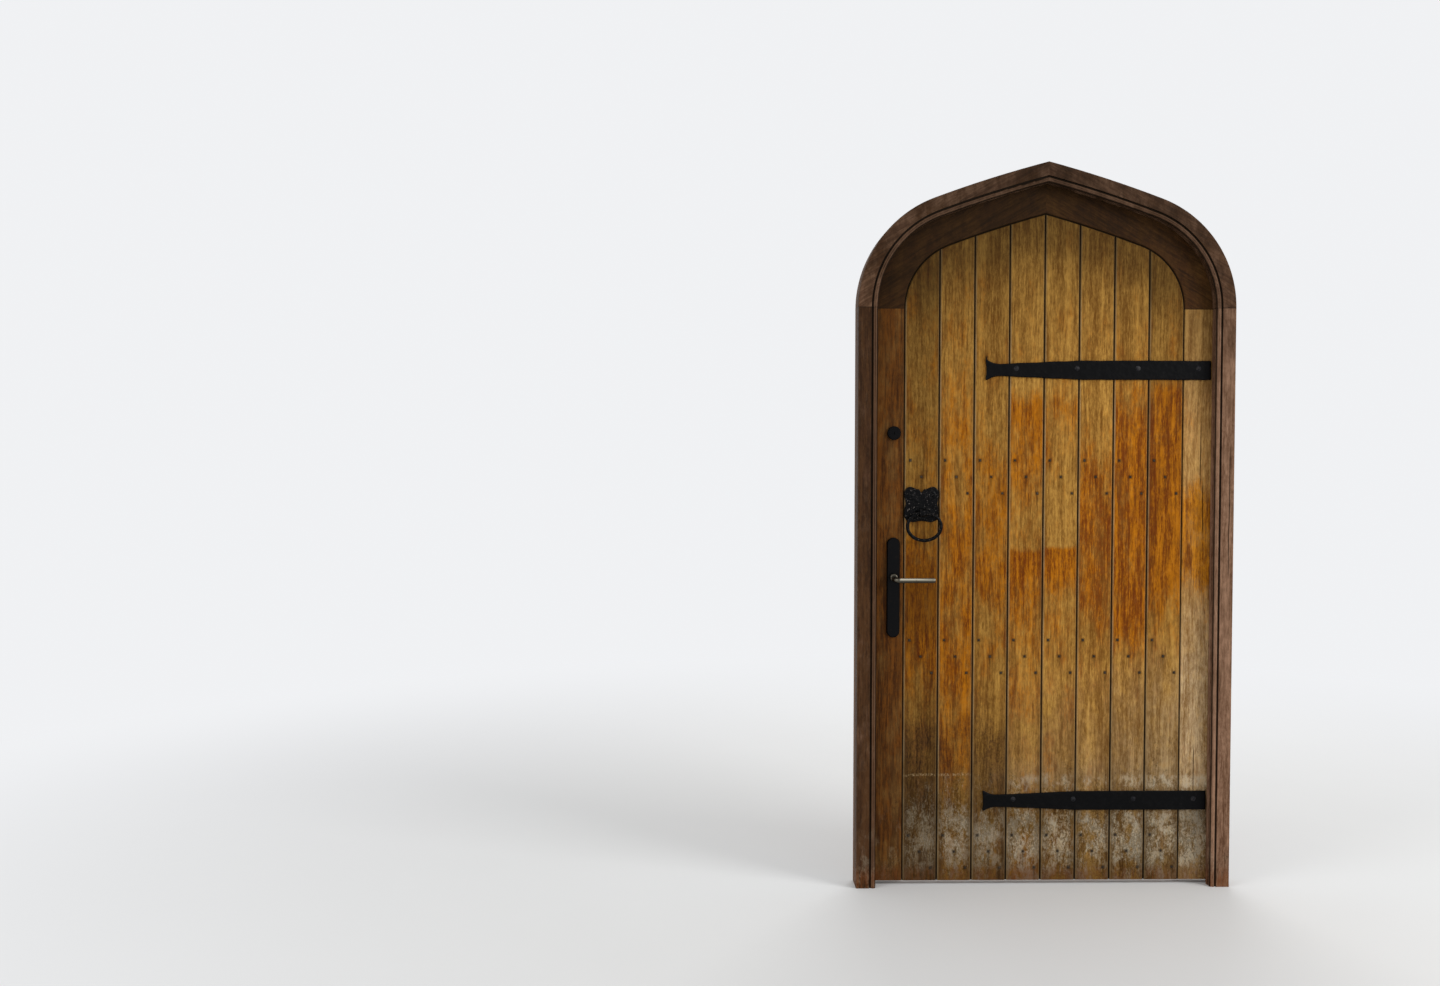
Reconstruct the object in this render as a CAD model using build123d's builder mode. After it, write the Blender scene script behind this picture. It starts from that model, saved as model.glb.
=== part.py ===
from build123d import *

import os
from math import acos, cos, degrees, radians, sin, sqrt

# Arched, framed and ledged timber door hung in its own rebated timber frame.
# Millimetres. X runs across the doorway with the hinges at +X, Y runs inwards from the
# weather side and Z is up. The origin is at floor level under the middle of the leaf.

os.makedirs("parts", exist_ok=True)

# Boarding of the leaf
board_count = 8
board_pitch = 102.0
board_thickness = 20.0
board_gap = 1.5
joint_bevel = 4.0
tongue_length = 9.0
tongue_thickness = 7.0
tongue_play = 0.3
tongue_room = 1.0

# Framing of the leaf
stile_width = 95.0
leaf_thickness = 45.0
spring_height = 1676.0
haunch_radius = 196.0
haunch_sweep = 69.5
crown_radius = 3300.0
edge_bevel = 1.5
back_bevel = 3.0
bottom_rail_height = 170.0
ledge_height = 150.0
lower_ledge_height = 661.0
upper_ledge_height = 1187.0
ledge_bevel = 6.0
tenon_thickness = 10.0
tenon_length = 60.0
tenon_inset = 20.0
tenon_play = 0.2
head_tenon_width = 45.0
head_tenon_length = 50.0
apex_tenon_length = 40.0
apex_tenon_height = 36.0

# Nails through the boards
nail_spread = 33.0
nail_rise = 48.0
nail_head_radius = 3.6
nail_head_height = 1.4
nail_radius = 1.6
nail_length = 38.0
nail_play = 0.05

# Frame
frame_face = 57.0
lip_cover = 13.0
lip_depth = 34.0
lip_gap = 3.0
leaf_gap = 3.0
foot_gap = 12.0
bead_diameter = 16.0
quirk_width = 3.0
quirk_depth = 5.0
frame_bevel = 2.0
dowel_radius = 6.0
dowel_length = 80.0
dowel_play = 0.05
dowel_setback = 20.0
fixing_radius = 4.0
fixing_head_radius = 8.0
fixing_drop = 76.0
fixing_heights = (100.0, 600.0, 1100.0, spring_height - fixing_drop)

# Wood screws for hinges, plates and cases
screw_radius = 2.0
screw_head_radius = 4.2
screw_head_depth = 2.4
screw_length = 28.0
screw_slot = 1.0
screw_play = 0.1

# Butt hinges
hinge_drop = 196.0
hinge_heights = (200.0, 880.0, spring_height - hinge_drop)
hinge_length = 100.0
hinge_plate = 3.0
hinge_plate_width = 30.5
knuckle_count = 5
knuckle_radius = 6.5
knuckle_gap = 0.3
knuckle_stand_off = 0.5
hinge_pin_radius = 3.5
pin_play = 0.06
pin_tip_radius = 5.0
pin_tip_height = 3.0
hinge_screw_heights = (-38.0, -14.0, 14.0, 38.0)
hinge_screw_stagger = 5.0

# Iron straps
strap_drop = 178.0
strap_heights = (236.0, spring_height - strap_drop)
strap_thickness = 6.0
strap_width = 56.0
strap_neck_width = 36.0
strap_end_gap = 3.0
strap_taper_start = 105.0
strap_neck = -128.0
strap_tail = -173.0
strap_tail_width = 60.0
strap_horn = 20.0
strap_edge = 1.2
strap_bolt_first = -83.0
strap_bolt_pitch = 177.5
strap_bolt_count = 4
strap_bolt_rise = 5.0
strap_bolt_radius = 4.0
strap_bolt_head_radius = 7.5
strap_bolt_head_height = 3.6
nut_width = 13.0
nut_height = 6.5
nut_washer_radius = 9.0
nut_washer_thickness = 1.6
bolt_end_stand = 2.0

# Lever furniture, worked from the spindle
lever_backset = 64.5
lever_height = 895.0
plate_width = 38.0
plate_height = 292.0
plate_thickness = 8.0
plate_drop = 31.0
plate_edge = 2.5
plate_screw_reach = 122.0
plate_screw_radius = 2.5
plate_screw_head_radius = 4.6
plate_screw_head_height = 3.0
lever_radius = 7.4
lever_reach = 115.5
lever_stand = 52.0
lever_drop = 6.0
lever_bend = 14.0
lever_neck_radius = 11.0
lever_neck_length = 24.0
lever_neck_round = 3.5
lever_end_round = 3.5
lever_play = 0.08
spindle_size = 8.0
spindle_play = 0.05
spindle_depth = 18.0

# Mortice latch
latch_case_thickness = 15.0
latch_case_wall = 1.5
latch_case_below = 30.0
latch_case_above = 34.0
latch_case_end = 18.0
latch_case_play = 0.3
forend_width = 22.0
forend_height = 150.0
forend_thickness = 3.0
forend_screw_reach = 62.0
latch_nose_height = 22.0
latch_nose_thickness = 12.0
latch_nose_play = 0.3
latch_stand = 10.0
latch_block = 24.0
follower_radius = 9.0
follower_hole_radius = 7.0
follower_arm = 16.0
follower_arm_width = 6.0
follower_play = 0.3
tail_height = 7.0
tail_lug = 3.0
spring_radius = 3.4
spring_wire = 0.5
spring_turns = 8

# Strike plate
strike_height = 120.0
strike_width = 24.0
strike_thickness = 3.0
strike_screw_reach = 48.0
strike_lip_height = 34.0
strike_pocket = 10.0

# Night latch
night_backset = 65.0
night_rise = 127.0
night_height = upper_ledge_height + night_rise
ring_radius = 20.0
ring_stand = 7.0
ring_edge = 2.0
cylinder_radius = 14.0
cylinder_stand = 1.5
plug_radius = 6.4
plug_play = 0.06
plug_stand = 0.8
key_slot_width = 1.6
key_slot_height = 8.0
key_slot_depth = 20.0
drive_bar_width = 6.0
drive_bar_thickness = 2.0
night_case_gap = 2.0
night_case_length = 90.0
night_case_height = 64.0
night_case_depth = 26.0
night_case_wall = 2.0
night_case_round = 4.0
night_case_screw_reach_x = 36.0
night_case_screw_reach_z = 25.0
night_nose_height = 20.0
night_nose_thickness = 16.0
night_nose_play = 0.4
night_stand = 16.0
night_block = 27.0
night_arm = 14.0
night_hub_radius = 9.0
knob_radius = 16.0
knob_height = 15.0
knob_neck_radius = 7.0
knob_neck = 5.0
knob_grip = 9.0
knob_grip_height = 11.0
keep_width = 38.0
keep_height = 60.0
keep_box_height = 34.0
keep_box_depth = 24.0
keep_base = 3.0
keep_gap = 1.0
keep_wall = 3.0
keep_screw_reach = 23.0
snib_width = 10.0
snib_length = 12.0
snib_stand = 4.0
snib_stem = 4.0
snib_travel = 8.0
snib_offset_x = 28.0
snib_offset_z = -20.0
snib_play = 0.3

# Ring knocker
knocker_centre = -357.0
knocker_width = 100.0
knocker_height = 103.0
knocker_drop = 132.0
knocker_foot = upper_ledge_height - knocker_drop
knocker_plate_thickness = 5.0
knocker_edge = 1.5
knocker_notch_depth = 20.0
knocker_notch_width = 22.0
knocker_waist = 6.0
knocker_pad_width = 70.0
knocker_pad_height = 38.0
knocker_pad_drop = 2.0
knocker_pad_rise = 3.0
knocker_ring_width = 98.0
knocker_ring_height = 81.0
knocker_ring_aside = 6.0
knocker_bar_radius = 4.9
boss_length = 22.0
boss_radius = 11.5
boss_rise = 28.5
boss_stand = 15.0
boss_play = 0.4
knocker_screw_radius = 2.5
knocker_screw_head_radius = 4.5
knocker_screw_head_height = 2.4
knocker_screw_length = 19.0
knocker_screw_places = ((-37.0, 74.0), (37.0, 74.0), (-38.0, 18.0), (38.0, 18.0))

# Main lines of the leaf and its frame
field_half = board_count * board_pitch / 2
leaf_half = field_half + stile_width
rebate_half = leaf_half + leaf_gap
opening_half = leaf_half - lip_cover
frame_half = opening_half + frame_face
leaf_foot = foot_gap
spring_z = leaf_foot + spring_height
leaf_front = -leaf_thickness / 2
leaf_back = leaf_thickness / 2
board_back = leaf_front + board_thickness
lip_back = leaf_front - lip_gap
frame_front = lip_back - lip_depth
frame_back = leaf_back

# The arch is a small haunch arc and a large crown arc on each side
haunch_x = field_half - haunch_radius
crown_x = haunch_x - (crown_radius - haunch_radius) * cos(radians(haunch_sweep))
crown_z = spring_z - (crown_radius - haunch_radius) * sin(radians(haunch_sweep))
haunch_axis = Axis((haunch_x, 0, spring_z), (0, -1, 0))
crown_axis = Axis((crown_x, 0, crown_z), (0, -1, 0))


def crown_end(offset):
    """Angle at which the crown arc, this far outside the boards, reaches the middle."""
    return degrees(acos(-crown_x / (crown_radius + offset)))


def apex_z(offset):
    """Height of the arch's point, this far outside the boards."""
    return crown_z + sqrt((crown_radius + offset) ** 2 - crown_x**2)


def facing(y, x=0.0, z=0.0):
    """Upright plane through this place, with X across and Z up, facing the weather side."""
    return Plane(origin=(x, y, z), x_dir=(1, 0, 0), z_dir=(0, -1, 0))


def run_round_arch(section, mode=Mode.ADD):
    """Carries a section at the right-hand springing round to the middle of the arch."""
    sweep_to_middle = crown_end(frame_half - field_half) - haunch_sweep
    revolve(section, axis=haunch_axis, revolution_arc=haunch_sweep, mode=mode)
    turned = section.rotate(haunch_axis, haunch_sweep)
    revolve(turned, axis=crown_axis, revolution_arc=sweep_to_middle + 0.2, mode=mode)


def arched_area(offset):
    """Area from the leaf's foot up to the arch, this far outside the boards."""
    with BuildSketch(facing(board_mid_y)) as area:
        with BuildLine():
            Polyline((0, leaf_foot), (field_half + offset, leaf_foot), (field_half + offset, spring_z))
            CenterArc((haunch_x, spring_z), haunch_radius + offset, 0, haunch_sweep)
            crown_arc = crown_end(offset) - haunch_sweep
            CenterArc((crown_x, crown_z), crown_radius + offset, haunch_sweep, crown_arc)
            mirror(about=Plane.YZ)
        make_face()
    return area.sketch


def block(x_span, y_span, z_span, mode=Mode.ADD):
    """Rectangular block between three pairs of limits."""
    size = [high - low for low, high in (x_span, y_span, z_span)]
    with Locations([((x_span[0] + x_span[1]) / 2, (y_span[0] + y_span[1]) / 2, z_span[0])]):
        Box(*size, align=(Align.CENTER, Align.CENTER, Align.MIN), mode=mode)


def rod(start, end, radius, mode=Mode.ADD):
    """Round bar or hole between two points."""
    line = Vector(*end) - Vector(*start)
    with Locations(Plane(origin=start, z_dir=line)):
        Cylinder(radius, line.length, align=(Align.CENTER, Align.CENTER, Align.MIN), mode=mode)


def domed_head(radius, height):
    """Half section of a low domed head: its flat underside lies on X and its axis on Z."""
    dome = (radius**2 + height**2) / (2 * height)
    waist = radius / 2
    with BuildSketch(Plane.XZ) as half_section:
        with BuildLine():
            Polyline((0, height), (0, 0), (radius, 0))
            crest = height - dome + sqrt(dome**2 - waist**2)
            ThreePointArc((radius, 0), (waist, crest), (0, height))
        make_face()
    return half_section.sketch


def export(piece, name):
    """Writes one finished piece under its own name."""
    piece.part.label = name
    export_step(piece.part, f"parts/{name}.step")


# Places that several pieces share
pivot_x = (leaf_half + rebate_half) / 2
pivot_y = frame_back + knuckle_radius + knuckle_stand_off
hinge_feet = [leaf_foot + height - hinge_length / 2 for height in hinge_heights]
plate_front_y = frame_back - hinge_plate_width
spindle_x = -leaf_half + lever_backset
spindle_z = leaf_foot + lever_height
plate_z = spindle_z - plate_drop
night_x = -leaf_half + night_backset
night_z = leaf_foot + night_height
strike_x = -rebate_half
board_mid_y = leaf_front + board_thickness / 2
tongue_span = (board_mid_y - tongue_thickness / 2, board_mid_y + tongue_thickness / 2)
groove_span = (tongue_span[0] - tongue_play, tongue_span[1] + tongue_play)
groove_depth = tongue_length + tongue_room
ledge_mid_y = (board_back + leaf_back) / 2
tenon_span = (ledge_mid_y - tenon_thickness / 2, ledge_mid_y + tenon_thickness / 2)
head_tenon_x = field_half + stile_width / 2
head_tenon_span = (head_tenon_x - head_tenon_width / 2, head_tenon_x + head_tenon_width / 2)
rails = {
    "bottom_rail": (leaf_foot, leaf_foot + bottom_rail_height),
    "lower_ledge": (
        leaf_foot + lower_ledge_height - ledge_height / 2,
        leaf_foot + lower_ledge_height + ledge_height / 2,
    ),
    "upper_ledge": (
        leaf_foot + upper_ledge_height - ledge_height / 2,
        leaf_foot + upper_ledge_height + ledge_height / 2,
    ),
}

# Screws lie along their own -Z, with the head's face at the origin
with BuildPart() as wood_screw:
    with BuildSketch(Plane.XZ):
        with BuildLine():
            Polyline(
                (0, 0),
                (screw_head_radius, 0),
                (screw_radius, -screw_head_depth),
                (screw_radius, -screw_length + 2 * screw_radius),
                (0, -screw_length),
                close=True,
            )
        make_face()
    revolve(axis=Axis.Z)
    block((-screw_head_radius, screw_head_radius), (-screw_slot / 2, screw_slot / 2), (-1, 0), Mode.SUBTRACT)


def screw_hole(depth):
    """Countersunk hole for one wood screw, with its mouth at the current location."""
    grown = screw_radius + screw_play
    Cylinder(grown, depth, align=(Align.CENTER, Align.CENTER, Align.MAX), mode=Mode.SUBTRACT)
    Cone(
        grown,
        screw_head_radius + screw_play,
        screw_head_depth,
        align=(Align.CENTER, Align.CENTER, Align.MAX),
        mode=Mode.SUBTRACT,
    )


def hinge_screw_places(x, direction):
    """Screws of every hinge plate on the face at x, driven against this direction."""
    places = []
    for foot in hinge_feet:
        for turn, height in enumerate(hinge_screw_heights):
            y = plate_front_y + hinge_plate_width / 2 + (-1) ** turn * hinge_screw_stagger
            z = foot + hinge_length / 2 + height
            places.append(Plane(origin=(x, y, z), z_dir=(direction, 0, 0)))
    return places


strike_screw_places = [
    Plane(origin=(strike_x, 0, spindle_z + side * strike_screw_reach), z_dir=(1, 0, 0))
    for side in (-1, 1)
]
forend_screw_places = [
    Plane(origin=(-leaf_half, 0, spindle_z + side * forend_screw_reach), z_dir=(-1, 0, 0))
    for side in (-1, 1)
]
keep_x = strike_x - keep_gap
keep_screw_places = [
    Plane(
        origin=(keep_x - keep_width / 2, frame_back + keep_base, night_z + side * keep_screw_reach),
        z_dir=(0, 1, 0),
    )
    for side in (-1, 1)
]
night_case_x = -leaf_half + night_case_gap
night_case_mid = night_case_x + night_case_length / 2
night_case_back = leaf_back + night_case_depth
night_screw_places = [
    Plane(
        origin=(
            night_case_mid + across * night_case_screw_reach_x,
            leaf_back + night_case_wall,
            night_z + up * night_case_screw_reach_z,
        ),
        z_dir=(0, 1, 0),
    )
    for across in (-1, 1)
    for up in (-1, 1)
]

# Frame section, drawn for the right-hand jamb
with BuildSketch(Plane.XY.offset(spring_z)) as frame_section:
    bead_radius = bead_diameter / 2
    bead_x = opening_half + bead_radius
    bead_y = frame_front + bead_radius
    bead_reach = sqrt(bead_radius**2 - (bead_radius - quirk_depth) ** 2)
    quirk_edge = bead_diameter + quirk_width
    bead_front = bead_radius / sqrt(2)
    with BuildLine():
        ThreePointArc(
            (opening_half + quirk_depth, bead_y + bead_reach),
            (bead_x - bead_front, bead_y - bead_front),
            (bead_x + bead_reach, frame_front + quirk_depth),
        )
        Polyline(
            (bead_x + bead_reach, frame_front + quirk_depth),
            (opening_half + quirk_edge, frame_front + quirk_depth),
            (opening_half + quirk_edge, frame_front),
            (frame_half - frame_bevel, frame_front),
            (frame_half, frame_front + frame_bevel),
            (frame_half, frame_back),
            (rebate_half, frame_back),
            (rebate_half, lip_back),
            (opening_half, lip_back),
            (opening_half, frame_front + quirk_edge),
            (opening_half + quirk_depth, frame_front + quirk_edge),
            (opening_half + quirk_depth, bead_y + bead_reach),
        )
    make_face()

dowel_x = (rebate_half + frame_half) / 2
dowel_y = (frame_front + dowel_setback, frame_back - dowel_setback)
dowel_ends = [
    ((side * dowel_x, y, spring_z - dowel_length / 2), (side * dowel_x, y, spring_z + dowel_length / 2))
    for side in (-1, 1)
    for y in dowel_y
]
frame_apex_mid = (apex_z(rebate_half - field_half) + apex_z(frame_half - field_half)) / 2
apex_drop = dowel_radius
dowel_ends += [
    (
        (-dowel_length / 2, y, frame_apex_mid - apex_drop),
        (dowel_length / 2, y, frame_apex_mid - apex_drop),
    )
    for y in dowel_y
]


def cut_dowels():
    """Holes for every dowel of the frame that meets the current piece."""
    for start, end in dowel_ends:
        rod(start, end, dowel_radius + dowel_play, Mode.SUBTRACT)


with BuildPart() as jamb_blank:
    extrude(frame_section.sketch, amount=-spring_z)
    fixing_y = (lip_back + frame_back) / 2
    for height in fixing_heights:
        with Locations(Plane(origin=(rebate_half, fixing_y, height), z_dir=(-1, 0, 0))):
            CounterSinkHole(fixing_radius, fixing_head_radius)

with BuildPart() as frame_jamb_right:
    add(jamb_blank.part)
    for foot in hinge_feet:
        block(
            (rebate_half, rebate_half + hinge_plate),
            (plate_front_y, frame_back),
            (foot, foot + hinge_length),
            Mode.SUBTRACT,
        )
    with Locations(*hinge_screw_places(rebate_half, -1)):
        screw_hole(screw_length)
    cut_dowels()

strike_span_z = (spindle_z - strike_height / 2, spindle_z + strike_height / 2)
strike_lip_z = (spindle_z - strike_lip_height / 2, spindle_z + strike_lip_height / 2)
strike_face_x = (strike_x - strike_thickness, strike_x)
latch_hole_y = (-latch_nose_thickness / 2 - latch_nose_play, latch_nose_thickness / 2 + latch_nose_play)
latch_hole_z = (
    spindle_z - latch_nose_height / 2 - latch_nose_play,
    spindle_z + latch_nose_height / 2 + latch_nose_play,
)

with BuildPart() as frame_jamb_left:
    mirror(jamb_blank.part, about=Plane.YZ)
    block(strike_face_x, (-strike_width / 2, strike_width / 2), strike_span_z, Mode.SUBTRACT)
    block(strike_face_x, (0, frame_back), strike_lip_z, Mode.SUBTRACT)
    block((strike_x - strike_pocket, strike_x), latch_hole_y, latch_hole_z, Mode.SUBTRACT)
    with Locations(*strike_screw_places):
        screw_hole(screw_length)
    with Locations(*keep_screw_places):
        screw_hole(screw_length)
    cut_dowels()

with BuildPart() as frame_head_right:
    run_round_arch(frame_section.sketch)
    split(bisect_by=Plane.YZ)
    cut_dowels()

with BuildPart() as frame_head_left:
    mirror(frame_head_right.part, about=Plane.YZ)

with BuildPart() as frame_dowels:
    for start, end in dowel_ends:
        rod(start, end, dowel_radius)

with BuildPart() as strike_plate:
    block(strike_face_x, (-strike_width / 2, strike_width / 2), strike_span_z)
    block(strike_face_x, (0, frame_back), strike_lip_z)
    block(strike_face_x, latch_hole_y, latch_hole_z, Mode.SUBTRACT)
    with Locations(*strike_screw_places):
        screw_hole(screw_length)

keep_box_back = frame_back + keep_box_depth
keep_box_z = (night_z - keep_box_height / 2, night_z + keep_box_height / 2)
night_nose_y = leaf_back + night_case_depth / 2
night_hole_y = (
    night_nose_y - night_nose_thickness / 2 - night_nose_play,
    night_nose_y + night_nose_thickness / 2 + night_nose_play,
)
night_hole_z = (
    night_z - night_nose_height / 2 - night_nose_play,
    night_z + night_nose_height / 2 + night_nose_play,
)

with BuildPart() as night_latch_keep:
    block(
        (keep_x - keep_width, keep_x),
        (frame_back, frame_back + keep_base),
        (night_z - keep_height / 2, night_z + keep_height / 2),
    )
    block((keep_x - night_stand - keep_wall, keep_x), (frame_back, keep_box_back), keep_box_z)
    rounded = keep_box_depth / 8
    top_edges = keep_box_back
    fillet(night_latch_keep.edges().filter_by_position(Axis.Y, top_edges, top_edges), rounded)
    block((keep_x - night_stand, keep_x), night_hole_y, night_hole_z, Mode.SUBTRACT)
    with Locations(*keep_screw_places):
        screw_hole(screw_length)

with BuildPart() as frame_screws:
    places = hinge_screw_places(rebate_half, -1) + strike_screw_places + keep_screw_places
    with Locations(*places):
        add(wood_screw.part)


def hinge_leaf(side, foot):
    """One butt hinge leaf: side 1 is on the frame with the end knuckles, -1 on the door."""
    inner = pivot_x + side * leaf_gap / 2
    outer = inner + side * hinge_plate
    x_span = (min(inner, outer), max(inner, outer))
    knuckle = hinge_length / knuckle_count
    neck_end = pivot_y - hinge_pin_radius - pin_play
    with BuildPart() as leaf:
        block(x_span, (plate_front_y, frame_back), (foot, foot + hinge_length))
        for number in range(knuckle_count):
            if (number % 2 == 0) == (side == 1):
                low = foot + number * knuckle + knuckle_gap / 2
                high = foot + (number + 1) * knuckle - knuckle_gap / 2
                rod((pivot_x, pivot_y, low), (pivot_x, pivot_y, high), knuckle_radius)
                block(x_span, (frame_back, neck_end), (low, high))
        rod(
            (pivot_x, pivot_y, foot),
            (pivot_x, pivot_y, foot + hinge_length),
            hinge_pin_radius + pin_play,
            Mode.SUBTRACT,
        )
        at_this_hinge = [
            place
            for place in hinge_screw_places(inner, -side)
            if foot < place.origin.Z < foot + hinge_length
        ]
        with Locations(*at_this_hinge):
            screw_hole(screw_length)
    return leaf


with BuildPart() as hinge_pins:
    for foot in hinge_feet:
        top = foot + hinge_length
        rod((pivot_x, pivot_y, foot), (pivot_x, pivot_y, top), hinge_pin_radius)
        rod((pivot_x, pivot_y, top), (pivot_x, pivot_y, top + pin_tip_height), pin_tip_radius)
        rod((pivot_x, pivot_y, foot), (pivot_x, pivot_y, foot - pin_tip_height), pin_tip_radius)

# Leaf section, drawn for the right-hand stile
with BuildSketch(Plane.XY.offset(spring_z)) as leaf_section:
    with BuildLine():
        Polyline(
            (field_half + joint_bevel, leaf_front),
            (leaf_half - edge_bevel, leaf_front),
            (leaf_half, leaf_front + edge_bevel),
            (leaf_half, leaf_back - edge_bevel),
            (leaf_half - edge_bevel, leaf_back),
            (field_half + back_bevel, leaf_back),
            (field_half, leaf_back - back_bevel),
            (field_half, groove_span[1]),
            (field_half + groove_depth, groove_span[1]),
            (field_half + groove_depth, groove_span[0]),
            (field_half, groove_span[0]),
            (field_half, leaf_front + joint_bevel),
            close=True,
        )
    make_face()

with BuildPart() as stile_blank:
    extrude(leaf_section.sketch, amount=-spring_height)
    block(
        (head_tenon_span[0] - tenon_play, head_tenon_span[1] + tenon_play),
        (-tenon_thickness / 2 - tenon_play, tenon_thickness / 2 + tenon_play),
        (spring_z - head_tenon_length - tenon_play, spring_z),
        Mode.SUBTRACT,
    )
    for low, high in rails.values():
        block(
            (field_half, field_half + tenon_length + tenon_play),
            (tenon_span[0] - tenon_play, tenon_span[1] + tenon_play),
            (low + tenon_inset - tenon_play, high - tenon_inset + tenon_play),
            Mode.SUBTRACT,
        )

bolt_xs = [strap_bolt_first + number * strap_bolt_pitch for number in range(strap_bolt_count)]
bolt_places = [(x, leaf_foot + z + strap_bolt_rise) for z in strap_heights for x in bolt_xs]


def cut_bolt_holes():
    """Holes for the strap bolts right through the leaf."""
    for x, z in bolt_places:
        rod((x, leaf_front, z), (x, leaf_back, z), strap_bolt_radius + nail_play, Mode.SUBTRACT)


with BuildPart() as hinge_stile:
    add(stile_blank.part)
    for foot in hinge_feet:
        block(
            (leaf_half - hinge_plate, leaf_half),
            (plate_front_y, leaf_back),
            (foot, foot + hinge_length),
            Mode.SUBTRACT,
        )
    with Locations(*hinge_screw_places(leaf_half, 1)):
        screw_hole(screw_length)
    cut_bolt_holes()

case_span_x = (-leaf_half + forend_thickness, spindle_x + latch_case_end)
case_span_y = (-latch_case_thickness / 2, latch_case_thickness / 2)
case_span_z = (spindle_z - latch_case_below, spindle_z + latch_case_above)
forend_span_z = (spindle_z - forend_height / 2, spindle_z + forend_height / 2)
plate_screw_zs = [plate_z - plate_screw_reach, plate_z + plate_screw_reach]

with BuildPart() as latch_stile:
    mirror(stile_blank.part, about=Plane.YZ)
    block(
        (-leaf_half, -leaf_half + forend_thickness),
        (-forend_width / 2, forend_width / 2),
        forend_span_z,
        Mode.SUBTRACT,
    )
    block(
        (case_span_x[0], case_span_x[1] + latch_case_play),
        (case_span_y[0] - latch_case_play, case_span_y[1] + latch_case_play),
        (case_span_z[0] - latch_case_play, case_span_z[1] + latch_case_play),
        Mode.SUBTRACT,
    )
    rod(
        (spindle_x, leaf_front, spindle_z),
        (spindle_x, leaf_back, spindle_z),
        lever_radius + 1,
        Mode.SUBTRACT,
    )
    for z in plate_screw_zs:
        rod(
            (spindle_x, leaf_front, z),
            (spindle_x, leaf_back, z),
            plate_screw_radius + 0.3,
            Mode.SUBTRACT,
        )
    rod(
        (night_x, leaf_front, night_z),
        (night_x, leaf_back, night_z),
        cylinder_radius + 0.3,
        Mode.SUBTRACT,
    )
    with Locations(*forend_screw_places):
        screw_hole(screw_length)
    with Locations(*night_screw_places):
        screw_hole(screw_length)

apex_tenon_z = (apex_z(0) + apex_z(stile_width)) / 2 - apex_tenon_height / 2 - tenon_thickness / 2
apex_tenon_span_z = (apex_tenon_z, apex_tenon_z + apex_tenon_height)

with BuildPart() as head_half:
    run_round_arch(leaf_section.sketch)
    split(bisect_by=Plane.YZ)
    block(
        head_tenon_span,
        (-tenon_thickness / 2, tenon_thickness / 2),
        (spring_z - head_tenon_length, spring_z),
    )

with BuildPart() as head_right:
    add(head_half.part)
    block(
        (0, apex_tenon_length + tenon_play),
        (-tenon_thickness / 2 - tenon_play, tenon_thickness / 2 + tenon_play),
        (apex_tenon_span_z[0] - tenon_play, apex_tenon_span_z[1] + tenon_play),
        Mode.SUBTRACT,
    )

with BuildPart() as head_left:
    mirror(head_half.part, about=Plane.YZ)
    block((0, apex_tenon_length), (-tenon_thickness / 2, tenon_thickness / 2), apex_tenon_span_z)

# Nails stand in a slanting row of three on each board at each rail and ledge, with none
# where the knocker's plate lies
knocker_z = leaf_foot + knocker_foot
plate_room = knocker_width / 2 + nail_head_radius
nail_places = []
for low, high in rails.values():
    for number in range(board_count):
        centre = -field_half + (number + 0.5) * board_pitch
        for step in (-1, 0, 1):
            x, z = centre + step * nail_spread, (low + high) / 2 - step * nail_rise
            above_plate = z - nail_head_radius > knocker_z + knocker_height
            below_plate = z + nail_head_radius < knocker_z
            if abs(x - knocker_centre) > plate_room or above_plate or below_plate:
                nail_places.append((x, z))


def cut_nail_holes(x_span, z_span):
    """Holes for the nails that pass through the current piece within these limits."""
    end = leaf_front + nail_length
    for x, z in nail_places:
        if x_span[0] < x < x_span[1] and z_span[0] < z < z_span[1]:
            rod((x, leaf_front, z), (x, end, z), nail_radius + nail_play, Mode.SUBTRACT)


def cross_rail(name):
    """Rail or ledge behind the boards, tenoned into both stiles."""
    low, high = rails[name]
    with BuildPart() as rail:
        block((-field_half, field_half), (board_back, leaf_back), (low, high))
        back_edges = rail.edges().filter_by(Axis.X).filter_by_position(Axis.Y, leaf_back, leaf_back)
        chamfer(back_edges, ledge_bevel)
        block(
            (-field_half - tenon_length, field_half + tenon_length),
            tenon_span,
            (low + tenon_inset, high - tenon_inset),
        )
        cut_nail_holes((-field_half, field_half), (low, high))
    return rail


with BuildPart() as board_field:
    extrude(arched_area(-board_gap / 2), amount=board_thickness / 2, both=True)
    outline = board_field.edges().filter_by_position(Axis.Y, leaf_front, leaf_front)
    chamfer(outline.filter_by(lambda edge: edge.center().Z > leaf_foot + 1), joint_bevel)
    extrude(arched_area(tongue_length - board_gap / 2), amount=tongue_thickness / 2, both=True)


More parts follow.
